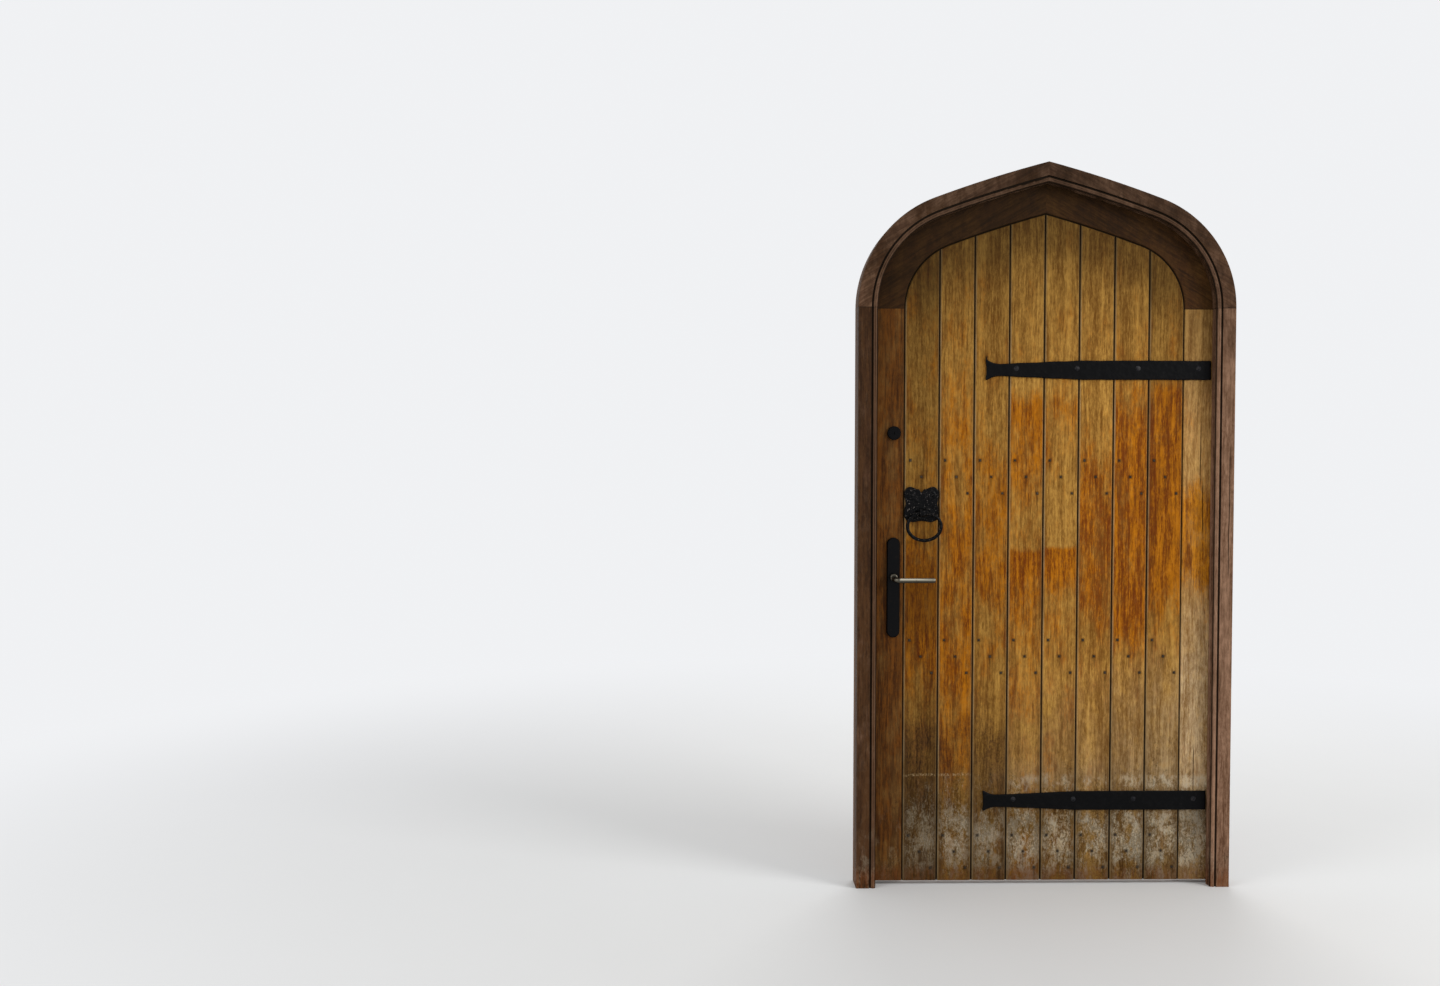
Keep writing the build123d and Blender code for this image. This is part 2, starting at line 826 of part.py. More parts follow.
def board(number):
    """One board: tongued to its right, grooved to its left, cut to the arch at its top."""
    first, last = number == 0, number == board_count - 1
    left = -field_half + number * board_pitch + board_gap / 2
    right = left + board_pitch - board_gap
    if first:
        left_edge = [(left - stile_width, leaf_front), (left - stile_width, board_back)]
    else:
        left_edge = [
            (left + joint_bevel, leaf_front),
            (left, leaf_front + joint_bevel),
            (left, groove_span[0]),
            (left + groove_depth, groove_span[0]),
            (left + groove_depth, groove_span[1]),
            (left, groove_span[1]),
            (left, board_back),
        ]
    if last:
        right_edge = [(right + stile_width, board_back), (right + stile_width, leaf_front)]
    else:
        right_edge = [
            (right, board_back),
            (right, tongue_span[1]),
            (right + tongue_length, tongue_span[1]),
            (right + tongue_length, tongue_span[0]),
            (right, tongue_span[0]),
            (right, leaf_front + joint_bevel),
            (right - joint_bevel, leaf_front),
        ]
    with BuildSketch(Plane.XY) as column:
        with BuildLine():
            Polyline(*left_edge, *right_edge, close=True)
        make_face()
    with BuildPart() as piece:
        add(board_field.part)
        extrude(column.sketch, amount=apex_z(stile_width), mode=Mode.INTERSECT)
        cut_nail_holes((left, right), (0, spring_z))
        for x, z in bolt_places:
            if left < x < right:
                rod((x, leaf_front, z), (x, leaf_back, z), strap_bolt_radius + nail_play, Mode.SUBTRACT)
        if left < knocker_centre < right:
            for across, up in knocker_screw_places:
                x, z = knocker_centre + across, leaf_foot + knocker_foot + up
                end = leaf_front + knocker_screw_length
                rod((x, leaf_front, z), (x, end, z), knocker_screw_radius + nail_play, Mode.SUBTRACT)
    return piece


with BuildPart() as nail:
    revolve(domed_head(nail_head_radius, nail_head_height), axis=Axis.Z)
    with BuildSketch(Plane.XZ):
        with BuildLine():
            Polyline(
                (0, 0),
                (nail_radius, 0),
                (nail_radius, 4 - nail_length),
                (0, -nail_length),
                close=True,
            )
        make_face()
    revolve(axis=Axis.Z)

with BuildPart() as board_nails:
    with Locations(*[Plane(origin=(x, leaf_front, z), z_dir=(0, -1, 0)) for x, z in nail_places]):
        add(nail.part)


def strap(height, horned):
    """Iron strap on the boards: parallel, then tapered to a neck and a flared tail."""
    z = leaf_foot + height
    half, neck, tail = strap_width / 2, strap_neck_width / 2, strap_tail_width / 2
    end = opening_half - strap_end_gap
    flare_x = (strap_neck + strap_tail) / 2
    flare = neck + (tail - neck) * 0.22
    with BuildSketch(facing(leaf_front, z=z)) as outline:
        with BuildLine():
            Polyline((end, -half), (end, half), (strap_taper_start, half), (strap_neck, neck))
            ThreePointArc((strap_neck, neck), (flare_x, flare), (strap_tail + 4, tail))
            if horned:
                Polyline(
                    (strap_tail + 4, tail),
                    (strap_tail + 7, tail + strap_horn),
                    (strap_tail, tail - 2),
                )
            else:
                Line((strap_tail + 4, tail), (strap_tail, tail - 2))
            ThreePointArc((strap_tail, tail - 2), (strap_tail + 3, 0), (strap_tail, 2 - tail))
            Line((strap_tail, 2 - tail), (strap_tail + 4, -tail))
            ThreePointArc((strap_tail + 4, -tail), (flare_x, -flare), (strap_neck, -neck))
            Polyline((strap_neck, -neck), (strap_taper_start, -half), (end, -half))
        make_face()
    with BuildPart() as piece:
        extrude(outline.sketch, amount=strap_thickness)
        front = leaf_front - strap_thickness
        chamfer(piece.edges().filter_by_position(Axis.Y, front, front), strap_edge)
        for x in bolt_xs:
            bolt_z = z + strap_bolt_rise
            rod((x, front, bolt_z), (x, leaf_front, bolt_z), strap_bolt_radius + nail_play, Mode.SUBTRACT)
    return piece


def nut_seat(x):
    """Depth at which the washer of the bolt at x seats: the stile's back or the boards' back."""
    return leaf_back if x > field_half else board_back


with BuildPart() as strap_bolt_head:
    revolve(domed_head(strap_bolt_head_radius, strap_bolt_head_height), axis=Axis.Z)

with BuildPart() as strap_bolts:
    for x, z in bolt_places:
        end = nut_seat(x) + nut_washer_thickness + nut_height + bolt_end_stand
        strap_front = leaf_front - strap_thickness
        rod((x, strap_front, z), (x, end, z), strap_bolt_radius)
        with Locations(Plane(origin=(x, strap_front, z), z_dir=(0, -1, 0))):
            add(strap_bolt_head.part)

with BuildPart() as strap_nuts:
    for x, z in bolt_places:
        seat = nut_seat(x)
        rod((x, seat, z), (x, seat + nut_washer_thickness, z), nut_washer_radius)
        with BuildSketch(facing(seat + nut_washer_thickness)) as hexagon:
            with Locations((x, z)):
                RegularPolygon(nut_width / 2, 6, major_radius=False)
        extrude(hexagon.sketch, amount=-nut_height)
        end = seat + nut_washer_thickness + nut_height
        rod((x, seat, z), (x, end, z), strap_bolt_radius + nail_play, Mode.SUBTRACT)

with BuildPart() as door_screws:
    places = hinge_screw_places(leaf_half, 1) + forend_screw_places + night_screw_places
    with Locations(*places):
        add(wood_screw.part)

# Mortice latch, with its bolt shot
with BuildPart() as latch_case:
    block(case_span_x, case_span_y, case_span_z)
    block(
        (case_span_x[0], case_span_x[1] - latch_case_wall),
        (case_span_y[0] + latch_case_wall, case_span_y[1] - latch_case_wall),
        (case_span_z[0] + latch_case_wall, case_span_z[1] - latch_case_wall),
        Mode.SUBTRACT,
    )
    rib_x = spindle_x - follower_radius - follower_play - latch_case_wall
    block(
        (rib_x - latch_case_wall, rib_x),
        case_span_y,
        (spindle_z - spring_radius - 2, spindle_z + spring_radius + 2),
    )
    rod(
        (spindle_x, case_span_y[0], spindle_z),
        (spindle_x, case_span_y[1], spindle_z),
        follower_hole_radius,
        Mode.SUBTRACT,
    )

with BuildPart() as latch_forend:
    block(
        (-leaf_half, -leaf_half + forend_thickness),
        (-forend_width / 2, forend_width / 2),
        forend_span_z,
    )
    block((-leaf_half, -leaf_half + forend_thickness), latch_hole_y, latch_hole_z, Mode.SUBTRACT)
    with Locations(*forend_screw_places):
        screw_hole(screw_length)

tail_foot = spindle_z + follower_arm + 2 * follower_play
lug_x = spindle_x + follower_arm_width / 2 + follower_play

with BuildPart() as latch_bolt:
    nose_x = -leaf_half - latch_stand
    block_end = nose_x + latch_block
    nose_z = (spindle_z - latch_nose_height / 2, spindle_z + latch_nose_height / 2)
    with BuildSketch(Plane.XY.offset(nose_z[0])):
        with BuildLine():
            Polyline(
                (nose_x, latch_nose_thickness / 2),
                (nose_x + 1, -latch_nose_thickness / 2 + 5),
                (-leaf_half - 1, -latch_nose_thickness / 2),
                (block_end, -latch_nose_thickness / 2),
                (block_end, latch_nose_thickness / 2),
                close=True,
            )
        make_face()
    extrude(amount=latch_nose_height)
    block(
        (block_end - 8, block_end),
        (-latch_nose_thickness / 4, latch_nose_thickness / 4),
        (nose_z[0], tail_foot + tail_height),
    )
    block(
        (block_end - 8, lug_x + tail_lug),
        (-latch_nose_thickness / 4, latch_nose_thickness / 4),
        (tail_foot, tail_foot + tail_height),
    )
    block(
        (lug_x, lug_x + tail_lug),
        (-latch_nose_thickness / 4, latch_nose_thickness / 4),
        (spindle_z + follower_radius + follower_play, tail_foot),
    )

with BuildPart() as latch_spring:
    spring_start = -leaf_half - latch_stand + latch_block + 2 * spring_wire
    spring_end = rib_x - latch_case_wall - 2 * spring_wire
    coil_length = spring_end - spring_start
    coil_pitch = coil_length / spring_turns
    with BuildLine() as coil:
        Helix(coil_pitch, coil_length, spring_radius, (spring_start, 0, spindle_z), (1, 0, 0))
    with BuildSketch(Plane(origin=coil.line @ 0, z_dir=coil.line % 0)):
        Circle(spring_wire)
    sweep(path=coil.line, is_frenet=True)

with BuildPart() as latch_follower:
    inside = latch_case_thickness / 2 - latch_case_wall - follower_play
    rod((spindle_x, -inside, spindle_z), (spindle_x, inside, spindle_z), follower_radius)
    block(
        (spindle_x - follower_arm_width / 2, spindle_x + follower_arm_width / 2),
        (-latch_nose_thickness / 4, latch_nose_thickness / 4),
        (spindle_z, spindle_z + follower_arm),
    )
    hole = spindle_size / 2 + spindle_play
    block(
        (spindle_x - hole, spindle_x + hole),
        (-inside, inside),
        (spindle_z - hole, spindle_z + hole),
        Mode.SUBTRACT,
    )

# Lever furniture


def back_plate(y, outward):
    """Long plate with round ends on the face at y, standing out in this direction."""
    with BuildSketch(facing(y)) as shape:
        with Locations((spindle_x, plate_z)):
            SlotOverall(plate_height, plate_width, rotation=90)
    with BuildPart() as plate:
        extrude(shape.sketch, amount=-outward * plate_thickness)
        face_y = y + outward * plate_thickness
        chamfer(plate.edges().filter_by_position(Axis.Y, face_y, face_y), plate_edge)
        rod(
            (spindle_x, y, spindle_z),
            (spindle_x, face_y, spindle_z),
            lever_neck_radius + lever_play,
            Mode.SUBTRACT,
        )
    return plate


with BuildPart() as outer_plate:
    add(back_plate(leaf_front, -1).part)
    for z in plate_screw_zs:
        tapped = (spindle_x, leaf_front - plate_thickness * 0.7, z)
        rod((spindle_x, leaf_front, z), tapped, plate_screw_radius + nail_play, Mode.SUBTRACT)

with BuildPart() as inner_plate:
    add(back_plate(leaf_back, 1).part)
    for z in plate_screw_zs:
        through = (spindle_x, leaf_back + plate_thickness, z)
        rod((spindle_x, leaf_back, z), through, plate_screw_radius + nail_play, Mode.SUBTRACT)

with BuildPart() as plate_screws:
    for z in plate_screw_zs:
        head_y = leaf_back + plate_thickness
        start = (spindle_x, leaf_front - plate_thickness * 0.6, z)
        rod(start, (spindle_x, head_y, z), plate_screw_radius)
        top = (spindle_x, head_y + plate_screw_head_height, z)
        rod((spindle_x, head_y, z), top, plate_screw_head_radius)

with BuildPart() as outer_lever:
    neck_foot = leaf_front - lever_play
    neck_end = neck_foot - lever_neck_length
    rod((spindle_x, neck_foot, spindle_z), (spindle_x, neck_end, spindle_z), lever_neck_radius)
    fillet(outer_lever.edges().filter_by_position(Axis.Y, neck_end, neck_end), lever_neck_round)
    grip_y = leaf_front - lever_stand
    grip_z = spindle_z - lever_drop
    with BuildLine() as lever_path:
        FilletPolyline(
            (spindle_x, neck_foot - lever_radius, spindle_z),
            (spindle_x, grip_y, grip_z),
            (spindle_x + lever_reach, grip_y, grip_z),
            radius=lever_bend,
        )
    with BuildSketch(Plane(origin=lever_path.line @ 0, z_dir=lever_path.line % 0)):
        Circle(lever_radius)
    sweep(path=lever_path.line)
    fillet(outer_lever.faces().sort_by(Axis.X)[-1].edges(), lever_end_round)
    socket = spindle_size / 2 + spindle_play
    block(
        (spindle_x - socket, spindle_x + socket),
        (leaf_front - spindle_depth, leaf_front),
        (spindle_z - socket, spindle_z + socket),
        Mode.SUBTRACT,
    )

with BuildPart() as inner_lever:
    mirror(outer_lever.part, about=Plane.XZ)

with BuildPart() as spindle:
    end = leaf_back + spindle_depth - 1
    block(
        (spindle_x - spindle_size / 2, spindle_x + spindle_size / 2),
        (-end, end),
        (spindle_z - spindle_size / 2, spindle_z + spindle_size / 2),
    )

# Night latch
ring_front = leaf_front - ring_stand

with BuildPart() as cylinder_ring:
    rod((night_x, leaf_front, night_z), (night_x, ring_front, night_z), ring_radius)
    chamfer(cylinder_ring.edges().filter_by_position(Axis.Y, ring_front, ring_front), ring_edge)
    rod(
        (night_x, leaf_front, night_z),
        (night_x, ring_front, night_z),
        cylinder_radius + nail_play,
        Mode.SUBTRACT,
    )

cylinder_front = ring_front - cylinder_stand
cylinder_back = leaf_back - 1

with BuildPart() as night_cylinder:
    rod((night_x, cylinder_front, night_z), (night_x, cylinder_back, night_z), cylinder_radius)
    rod(
        (night_x, cylinder_front, night_z),
        (night_x, cylinder_back, night_z),
        plug_radius + plug_play,
        Mode.SUBTRACT,
    )

hub_slot = drive_bar_thickness / 2 + spindle_play
arm_half = follower_arm_width / 2
drive_end = night_nose_y + 4

with BuildPart() as cylinder_plug:
    plug_front = cylinder_front - plug_stand
    rod((night_x, plug_front, night_z), (night_x, cylinder_back, night_z), plug_radius)
    block(
        (night_x - key_slot_width / 2, night_x + key_slot_width / 2),
        (plug_front, plug_front + key_slot_depth),
        (night_z - key_slot_height / 2, night_z + key_slot_height / 2),
        Mode.SUBTRACT,
    )

with BuildPart() as drive_bar:
    block(
        (night_x - drive_bar_thickness / 2, night_x + drive_bar_thickness / 2),
        (cylinder_back, drive_end),
        (night_z - drive_bar_width / 2, night_z + drive_bar_width / 2),
    )

night_span_x = (night_case_x, night_case_x + night_case_length)
night_span_z = (night_z - night_case_height / 2, night_z + night_case_height / 2)
snib_x = night_case_mid + snib_offset_x
snib_z = night_z + snib_offset_z

with BuildPart() as night_latch_case:
    block(night_span_x, (leaf_back, night_case_back), night_span_z)
    back_rim = night_latch_case.edges().filter_by_position(Axis.Y, night_case_back, night_case_back)
    fillet(back_rim, night_case_round)
    block(
        (night_span_x[0] + night_case_wall, night_span_x[1] - night_case_wall),
        (leaf_back + night_case_wall, night_case_back - night_case_wall),
        (night_span_z[0] + night_case_wall, night_span_z[1] - night_case_wall),
        Mode.SUBTRACT,
    )
    block((night_span_x[0], night_span_x[0] + night_case_wall), night_hole_y, night_hole_z, Mode.SUBTRACT)
    rod(
        (night_x, leaf_back, night_z),
        (night_x, leaf_back + night_case_wall, night_z),
        night_hub_radius - 2,
        Mode.SUBTRACT,
    )
    rod(
        (night_x, night_case_back - night_case_wall, night_z),
        (night_x, night_case_back, night_z),
        knob_neck_radius + plug_play,
        Mode.SUBTRACT,
    )
    block(
        (snib_x - snib_stem / 2 - snib_play, snib_x + snib_stem / 2 + snib_play),
        (night_case_back - night_case_wall, night_case_back),
        (snib_z - snib_stem / 2 - snib_play, snib_z + snib_stem / 2 + snib_travel + snib_play),
        Mode.SUBTRACT,
    )
    with Locations(*night_screw_places):
        screw_hole(screw_length)

night_tail_foot = night_z + night_arm + 2 * follower_play
night_lug_x = night_x + arm_half + follower_play

with BuildPart() as night_latch_bolt:
    nose_x = -leaf_half - night_stand
    block_end = nose_x + night_block
    nose_y = (night_nose_y - night_nose_thickness / 2, night_nose_y + night_nose_thickness / 2)
    tail_y = (night_nose_y - night_nose_thickness / 4, night_nose_y + night_nose_thickness / 4)
    nose_z = (night_z - night_nose_height / 2, night_z + night_nose_height / 2)
    with BuildSketch(Plane.XY.offset(nose_z[0])):
        with BuildLine():
            Polyline(
                (nose_x, nose_y[1]),
                (nose_x + 1, nose_y[0] + 9),
                (-leaf_half - 3, nose_y[0]),
                (block_end, nose_y[0]),
                (block_end, nose_y[1]),
                close=True,
            )
        make_face()
    extrude(amount=night_nose_height)
    block((block_end - 6, block_end), tail_y, (nose_z[0], night_tail_foot + tail_height))
    block((block_end - 6, night_lug_x + tail_lug), tail_y, (night_tail_foot, night_tail_foot + tail_height))
    lug_foot = night_z + night_hub_radius + follower_play
    block((night_lug_x, night_lug_x + tail_lug), tail_y, (lug_foot, night_tail_foot))

with BuildPart() as night_latch_knob:
    hub_front = leaf_back + night_case_wall + follower_play
    hub_back = night_case_back - night_case_wall - follower_play
    rod((night_x, hub_front, night_z), (night_x, hub_back, night_z), night_hub_radius)
    block((night_x - arm_half, night_x + arm_half), tail_y, (night_z, night_z + night_arm))
    neck_end = night_case_back + knob_neck
    rod((night_x, hub_back, night_z), (night_x, neck_end, night_z), knob_neck_radius)
    knob_back = neck_end + knob_height
    rod((night_x, neck_end, night_z), (night_x, knob_back, night_z), knob_radius)
    for side in (-1, 1):
        edge = night_x + side * knob_grip / 2
        far = night_x + side * knob_radius
        block(
            (min(edge, far), max(edge, far)),
            (knob_back - knob_grip_height, knob_back),
            (night_z - knob_radius, night_z + knob_radius),
            Mode.SUBTRACT,
        )
    block(
        (night_x - hub_slot, night_x + hub_slot),
        (hub_front, drive_end + 1),
        (
            night_z - drive_bar_width / 2 - spindle_play,
            night_z + drive_bar_width / 2 + spindle_play,
        ),
        Mode.SUBTRACT,
    )

with BuildPart() as night_latch_snib:
    snib_front = night_case_back + snib_play
    block(
        (snib_x - snib_width / 2, snib_x + snib_width / 2),
        (snib_front, snib_front + snib_stand),
        (snib_z - snib_length / 2, snib_z + snib_length / 2),
    )
    rim = snib_front + snib_stand
    chamfer(night_latch_snib.edges().filter_by_position(Axis.Y, rim, rim), 1)
    block(
        (snib_x - snib_stem / 2, snib_x + snib_stem / 2),
        (night_case_back - night_case_wall - 1, snib_front),
        (snib_z - snib_stem / 2, snib_z + snib_stem / 2),
    )

# Ring knocker, hanging
ring_centre = knocker_centre + knocker_ring_aside
boss_centre = knocker_centre + knocker_ring_aside / 2
reach_in_boss = (boss_length + knocker_ring_aside) / knocker_ring_width
ring_sag = knocker_ring_height / 2 * (1 - sqrt(1 - reach_in_boss**2))
pivot_bore = knocker_bar_radius + ring_sag + boss_play
knocker_front = leaf_front - knocker_plate_thickness
knocker_pivot_y = knocker_front - boss_stand
knocker_pivot_z = knocker_z + boss_rise

with BuildPart() as knocker_plate:
    half = knocker_width / 2
    top = knocker_height
    with BuildSketch(facing(leaf_front, knocker_centre, knocker_z)) as knocker_shape:
        with BuildLine():
            Spline(
                (0, 4),
                (half * 0.5, 0),
                (half - 4, 8),
                (half - 0.5, 26),
                (half - knocker_waist, top * 0.45),
                (half, top * 0.72),
                (half - 3, top - 8),
                (half * 0.62, top),
                (knocker_notch_width / 2 + 2, top - 7),
                (0, top - knocker_notch_depth),
                tangents=((1, -0.1), (-0.5, -1)),
            )
            mirror(about=Plane.YZ)
        make_face()
    extrude(knocker_shape.sketch, amount=knocker_plate_thickness)
    chamfer(knocker_plate.edges().filter_by_position(Axis.Y, knocker_front, knocker_front), knocker_edge)
    with BuildSketch(facing(knocker_front)) as pad:
        with Locations((knocker_centre, knocker_pivot_z - knocker_pad_drop)):
            Ellipse(knocker_pad_width / 2, knocker_pad_height / 2)
    extrude(pad.sketch, amount=knocker_pad_rise)
    pad_front = knocker_front - knocker_pad_rise
    chamfer(knocker_plate.edges().filter_by_position(Axis.Y, pad_front, pad_front), knocker_edge)
    boss_x = (boss_centre - boss_length / 2, boss_centre + boss_length / 2)
    rod(
        (boss_x[0], knocker_pivot_y, knocker_pivot_z),
        (boss_x[1], knocker_pivot_y, knocker_pivot_z),
        boss_radius,
    )
    boss_z = (knocker_pivot_z - boss_radius, knocker_pivot_z + boss_radius)
    block(boss_x, (knocker_pivot_y, knocker_front), boss_z)
    rod(
        (boss_x[0], knocker_pivot_y, knocker_pivot_z),
        (boss_x[1], knocker_pivot_y, knocker_pivot_z),
        pivot_bore,
        Mode.SUBTRACT,
    )
    for across, up in knocker_screw_places:
        x, z = knocker_centre + across, knocker_z + up
        rod((x, knocker_front, z), (x, leaf_front, z), knocker_screw_radius + nail_play, Mode.SUBTRACT)

with BuildPart() as knocker_ring:
    with BuildLine(facing(knocker_pivot_y, ring_centre, knocker_pivot_z - knocker_ring_height / 2)) as ring_path:
        EllipticalCenterArc((0, 0), knocker_ring_width / 2, knocker_ring_height / 2, arc_size=360)
    with BuildSketch(Plane(origin=ring_path.line @ 0, z_dir=ring_path.line % 0)):
        Circle(knocker_bar_radius)
    sweep(path=ring_path.line)

with BuildPart() as knocker_screws:
    for across, up in knocker_screw_places:
        x, z = knocker_centre + across, knocker_z + up
        head_front = knocker_front - knocker_screw_head_height
        rod((x, knocker_front, z), (x, leaf_front + knocker_screw_length - 1, z), knocker_screw_radius)
        rod((x, knocker_front, z), (x, head_front, z), knocker_screw_head_radius)
    domed = knocker_screws.edges().filter_by_position(Axis.Y, head_front, head_front)
    fillet(domed, knocker_screw_head_height * 0.8)

for name, piece in {
    "frame_jamb_left": frame_jamb_left,
    "frame_jamb_right": frame_jamb_right,
    "frame_head_left": frame_head_left,
    "frame_head_right": frame_head_right,
    "frame_dowels": frame_dowels,
    "strike_plate": strike_plate,
    "night_latch_keep": night_latch_keep,
    "frame_screws": frame_screws,
    "hinge_pins": hinge_pins,
    "latch_stile": latch_stile,
    "hinge_stile": hinge_stile,
    "head_left": head_left,
    "head_right": head_right,
    "board_nails": board_nails,
    "strap_bolts": strap_bolts,
    "strap_nuts": strap_nuts,
    "door_screws": door_screws,
    "latch_case": latch_case,
    "latch_forend": latch_forend,
    "latch_bolt": latch_bolt,
    "latch_spring": latch_spring,
    "latch_follower": latch_follower,
    "outer_plate": outer_plate,
    "inner_plate": inner_plate,
    "plate_screws": plate_screws,
    "outer_lever": outer_lever,
    "inner_lever": inner_lever,
    "spindle": spindle,
    "cylinder_ring": cylinder_ring,
    "night_cylinder": night_cylinder,
    "cylinder_plug": cylinder_plug,
    "drive_bar": drive_bar,
    "night_latch_case": night_latch_case,
    "night_latch_bolt": night_latch_bolt,
    "night_latch_knob": night_latch_knob,
    "night_latch_snib": night_latch_snib,
    "knocker_plate": knocker_plate,
    "knocker_ring": knocker_ring,
    "knocker_screws": knocker_screws,
    "strap_lower": strap(strap_heights[0], horned=False),
    "strap_upper": strap(strap_heights[1], horned=True),
}.items():
    export(piece, name)

for name in rails:
    export(cross_rail(name), name)

for number in range(board_count):
    export(board(number), f"board_{number + 1}")

for position, foot in zip(("lower", "middle", "upper"), hinge_feet):
    export(hinge_leaf(1, foot), f"hinge_frame_leaf_{position}")
    export(hinge_leaf(-1, foot), f"hinge_door_leaf_{position}")
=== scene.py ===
"""Arched boarded door in its moulded timber frame, dressed and lit for rendering."""

import logging
import math
from dataclasses import dataclass
from enum import Enum
from typing import Any, Callable, Dict, List, Optional, Sequence, Tuple, Union

import bmesh
import bpy
from mathutils import Matrix, Vector, noise

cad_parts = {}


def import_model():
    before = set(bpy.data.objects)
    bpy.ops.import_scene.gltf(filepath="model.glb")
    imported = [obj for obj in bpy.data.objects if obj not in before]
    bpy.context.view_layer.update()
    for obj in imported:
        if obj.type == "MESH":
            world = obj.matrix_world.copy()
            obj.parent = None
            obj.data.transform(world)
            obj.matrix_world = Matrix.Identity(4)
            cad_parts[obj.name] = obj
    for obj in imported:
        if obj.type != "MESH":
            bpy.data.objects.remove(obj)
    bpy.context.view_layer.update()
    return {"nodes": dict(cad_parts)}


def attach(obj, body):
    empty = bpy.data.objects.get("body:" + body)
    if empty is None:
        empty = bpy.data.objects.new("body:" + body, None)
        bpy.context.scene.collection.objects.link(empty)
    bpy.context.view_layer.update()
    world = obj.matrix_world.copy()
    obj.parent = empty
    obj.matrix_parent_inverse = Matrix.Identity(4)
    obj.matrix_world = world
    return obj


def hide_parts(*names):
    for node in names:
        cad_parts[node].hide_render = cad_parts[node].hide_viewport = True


log = logging.getLogger("door")

# Lengths are in metres.
SPRINGING = 1.688  # height of the joints between the uprights and the curved heads
LEAF_FACE = -0.0225  # depth of the boards' outer face
TONED = ("bare_dark", "bare_light", "varnish_dark", "varnish_light")  # colours a board varies
NAIL_STEP = (0.033, 0.048)  # from one nail of a slanting row to the next, across and down

Colour = Tuple[float, float, float, float]
Stops = Tuple[Tuple[float, float], ...]
Place = Tuple[float, float, float]
Number = Union[float, "Wire"]
FLAT: Stops = ((0.0, 0.0), (2.1, 0.0))


def paint(red: int, green: int, blue: int) -> Colour:
    """Turns a colour as it is seen on a screen into the linear one that shaders use.

    Args:
        red: Red from 0 to 255.
        green: Green from 0 to 255.
        blue: Blue from 0 to 255.

    Returns:
        The linear colour, with full alpha.
    """
    seen = (red, green, blue)
    return tuple(((c / 255 + 0.055) / 1.055) ** 2.4 if c > 10 else c / 3294 for c in seen) + (1.0,)


def toned(colour: Colour, tone: float) -> Colour:
    """Makes a colour lighter or darker."""
    return tuple(c * tone for c in colour[:3]) + (1.0,)


def operator(operation: str) -> Callable[["Wire", Number], "Wire"]:
    """Makes a method that adds one Math node.

    Args:
        operation: The node's operation.

    Returns:
        The method, on a wire and a value or another wire.
    """

    def method(wire: "Wire", other: Number = 0.0) -> "Wire":
        """Gives the result of the operation."""
        return wire.tree.maths(operation, wire, other)

    return method


class Wire:
    """A node socket that Python arithmetic works on."""

    __add__ = __radd__ = operator("ADD")
    __sub__ = operator("SUBTRACT")
    __mul__ = __rmul__ = operator("MULTIPLY")
    __truediv__ = operator("DIVIDE")
    __pow__ = operator("POWER")
    __abs__ = operator("ABSOLUTE")
    most = operator("MAXIMUM")
    least = operator("MINIMUM")
    rounded = operator("ROUND")

    def __init__(self, tree: "Tree", socket: bpy.types.NodeSocket) -> None:
        """Keeps the socket and the tree that further nodes go in."""
        self.tree = tree
        self.socket = socket

    def __rsub__(self, other: Number) -> "Wire":
        """Takes this wire away from a value."""
        return self.tree.maths("SUBTRACT", other, self)

    def rise(self, low: Number, high: Number) -> "Wire":
        """Climbs smoothly from 0 at the low value to 1 at the high one."""
        values = {"Value": self, "From Min": low, "From Max": high}
        return self.tree.node("ShaderNodeMapRange", {"interpolation_type": "SMOOTHSTEP"}, values)

    def fall(self, low: Number, high: Number) -> "Wire":
        """Drops smoothly from 1 at the low value to 0 at the high one."""
        return 1.0 - self.rise(low, high)

    def profile(self, stops: Stops) -> "Wire":
        """Reads a graph that is given as places and heights.

        Args:
            stops: Places along this wire's value and the number at each, in order.

        Returns:
            The number at this wire's value.
        """
        first, last = stops[0][0], stops[-1][0]
        span = last - first
        ramp = [((place - first) / span, (n, n, n, 1.0)) for place, n in stops]
        return self.tree.node("ShaderNodeValToRGB", {"ramp": ramp}, {"Fac": (self - first) / span})


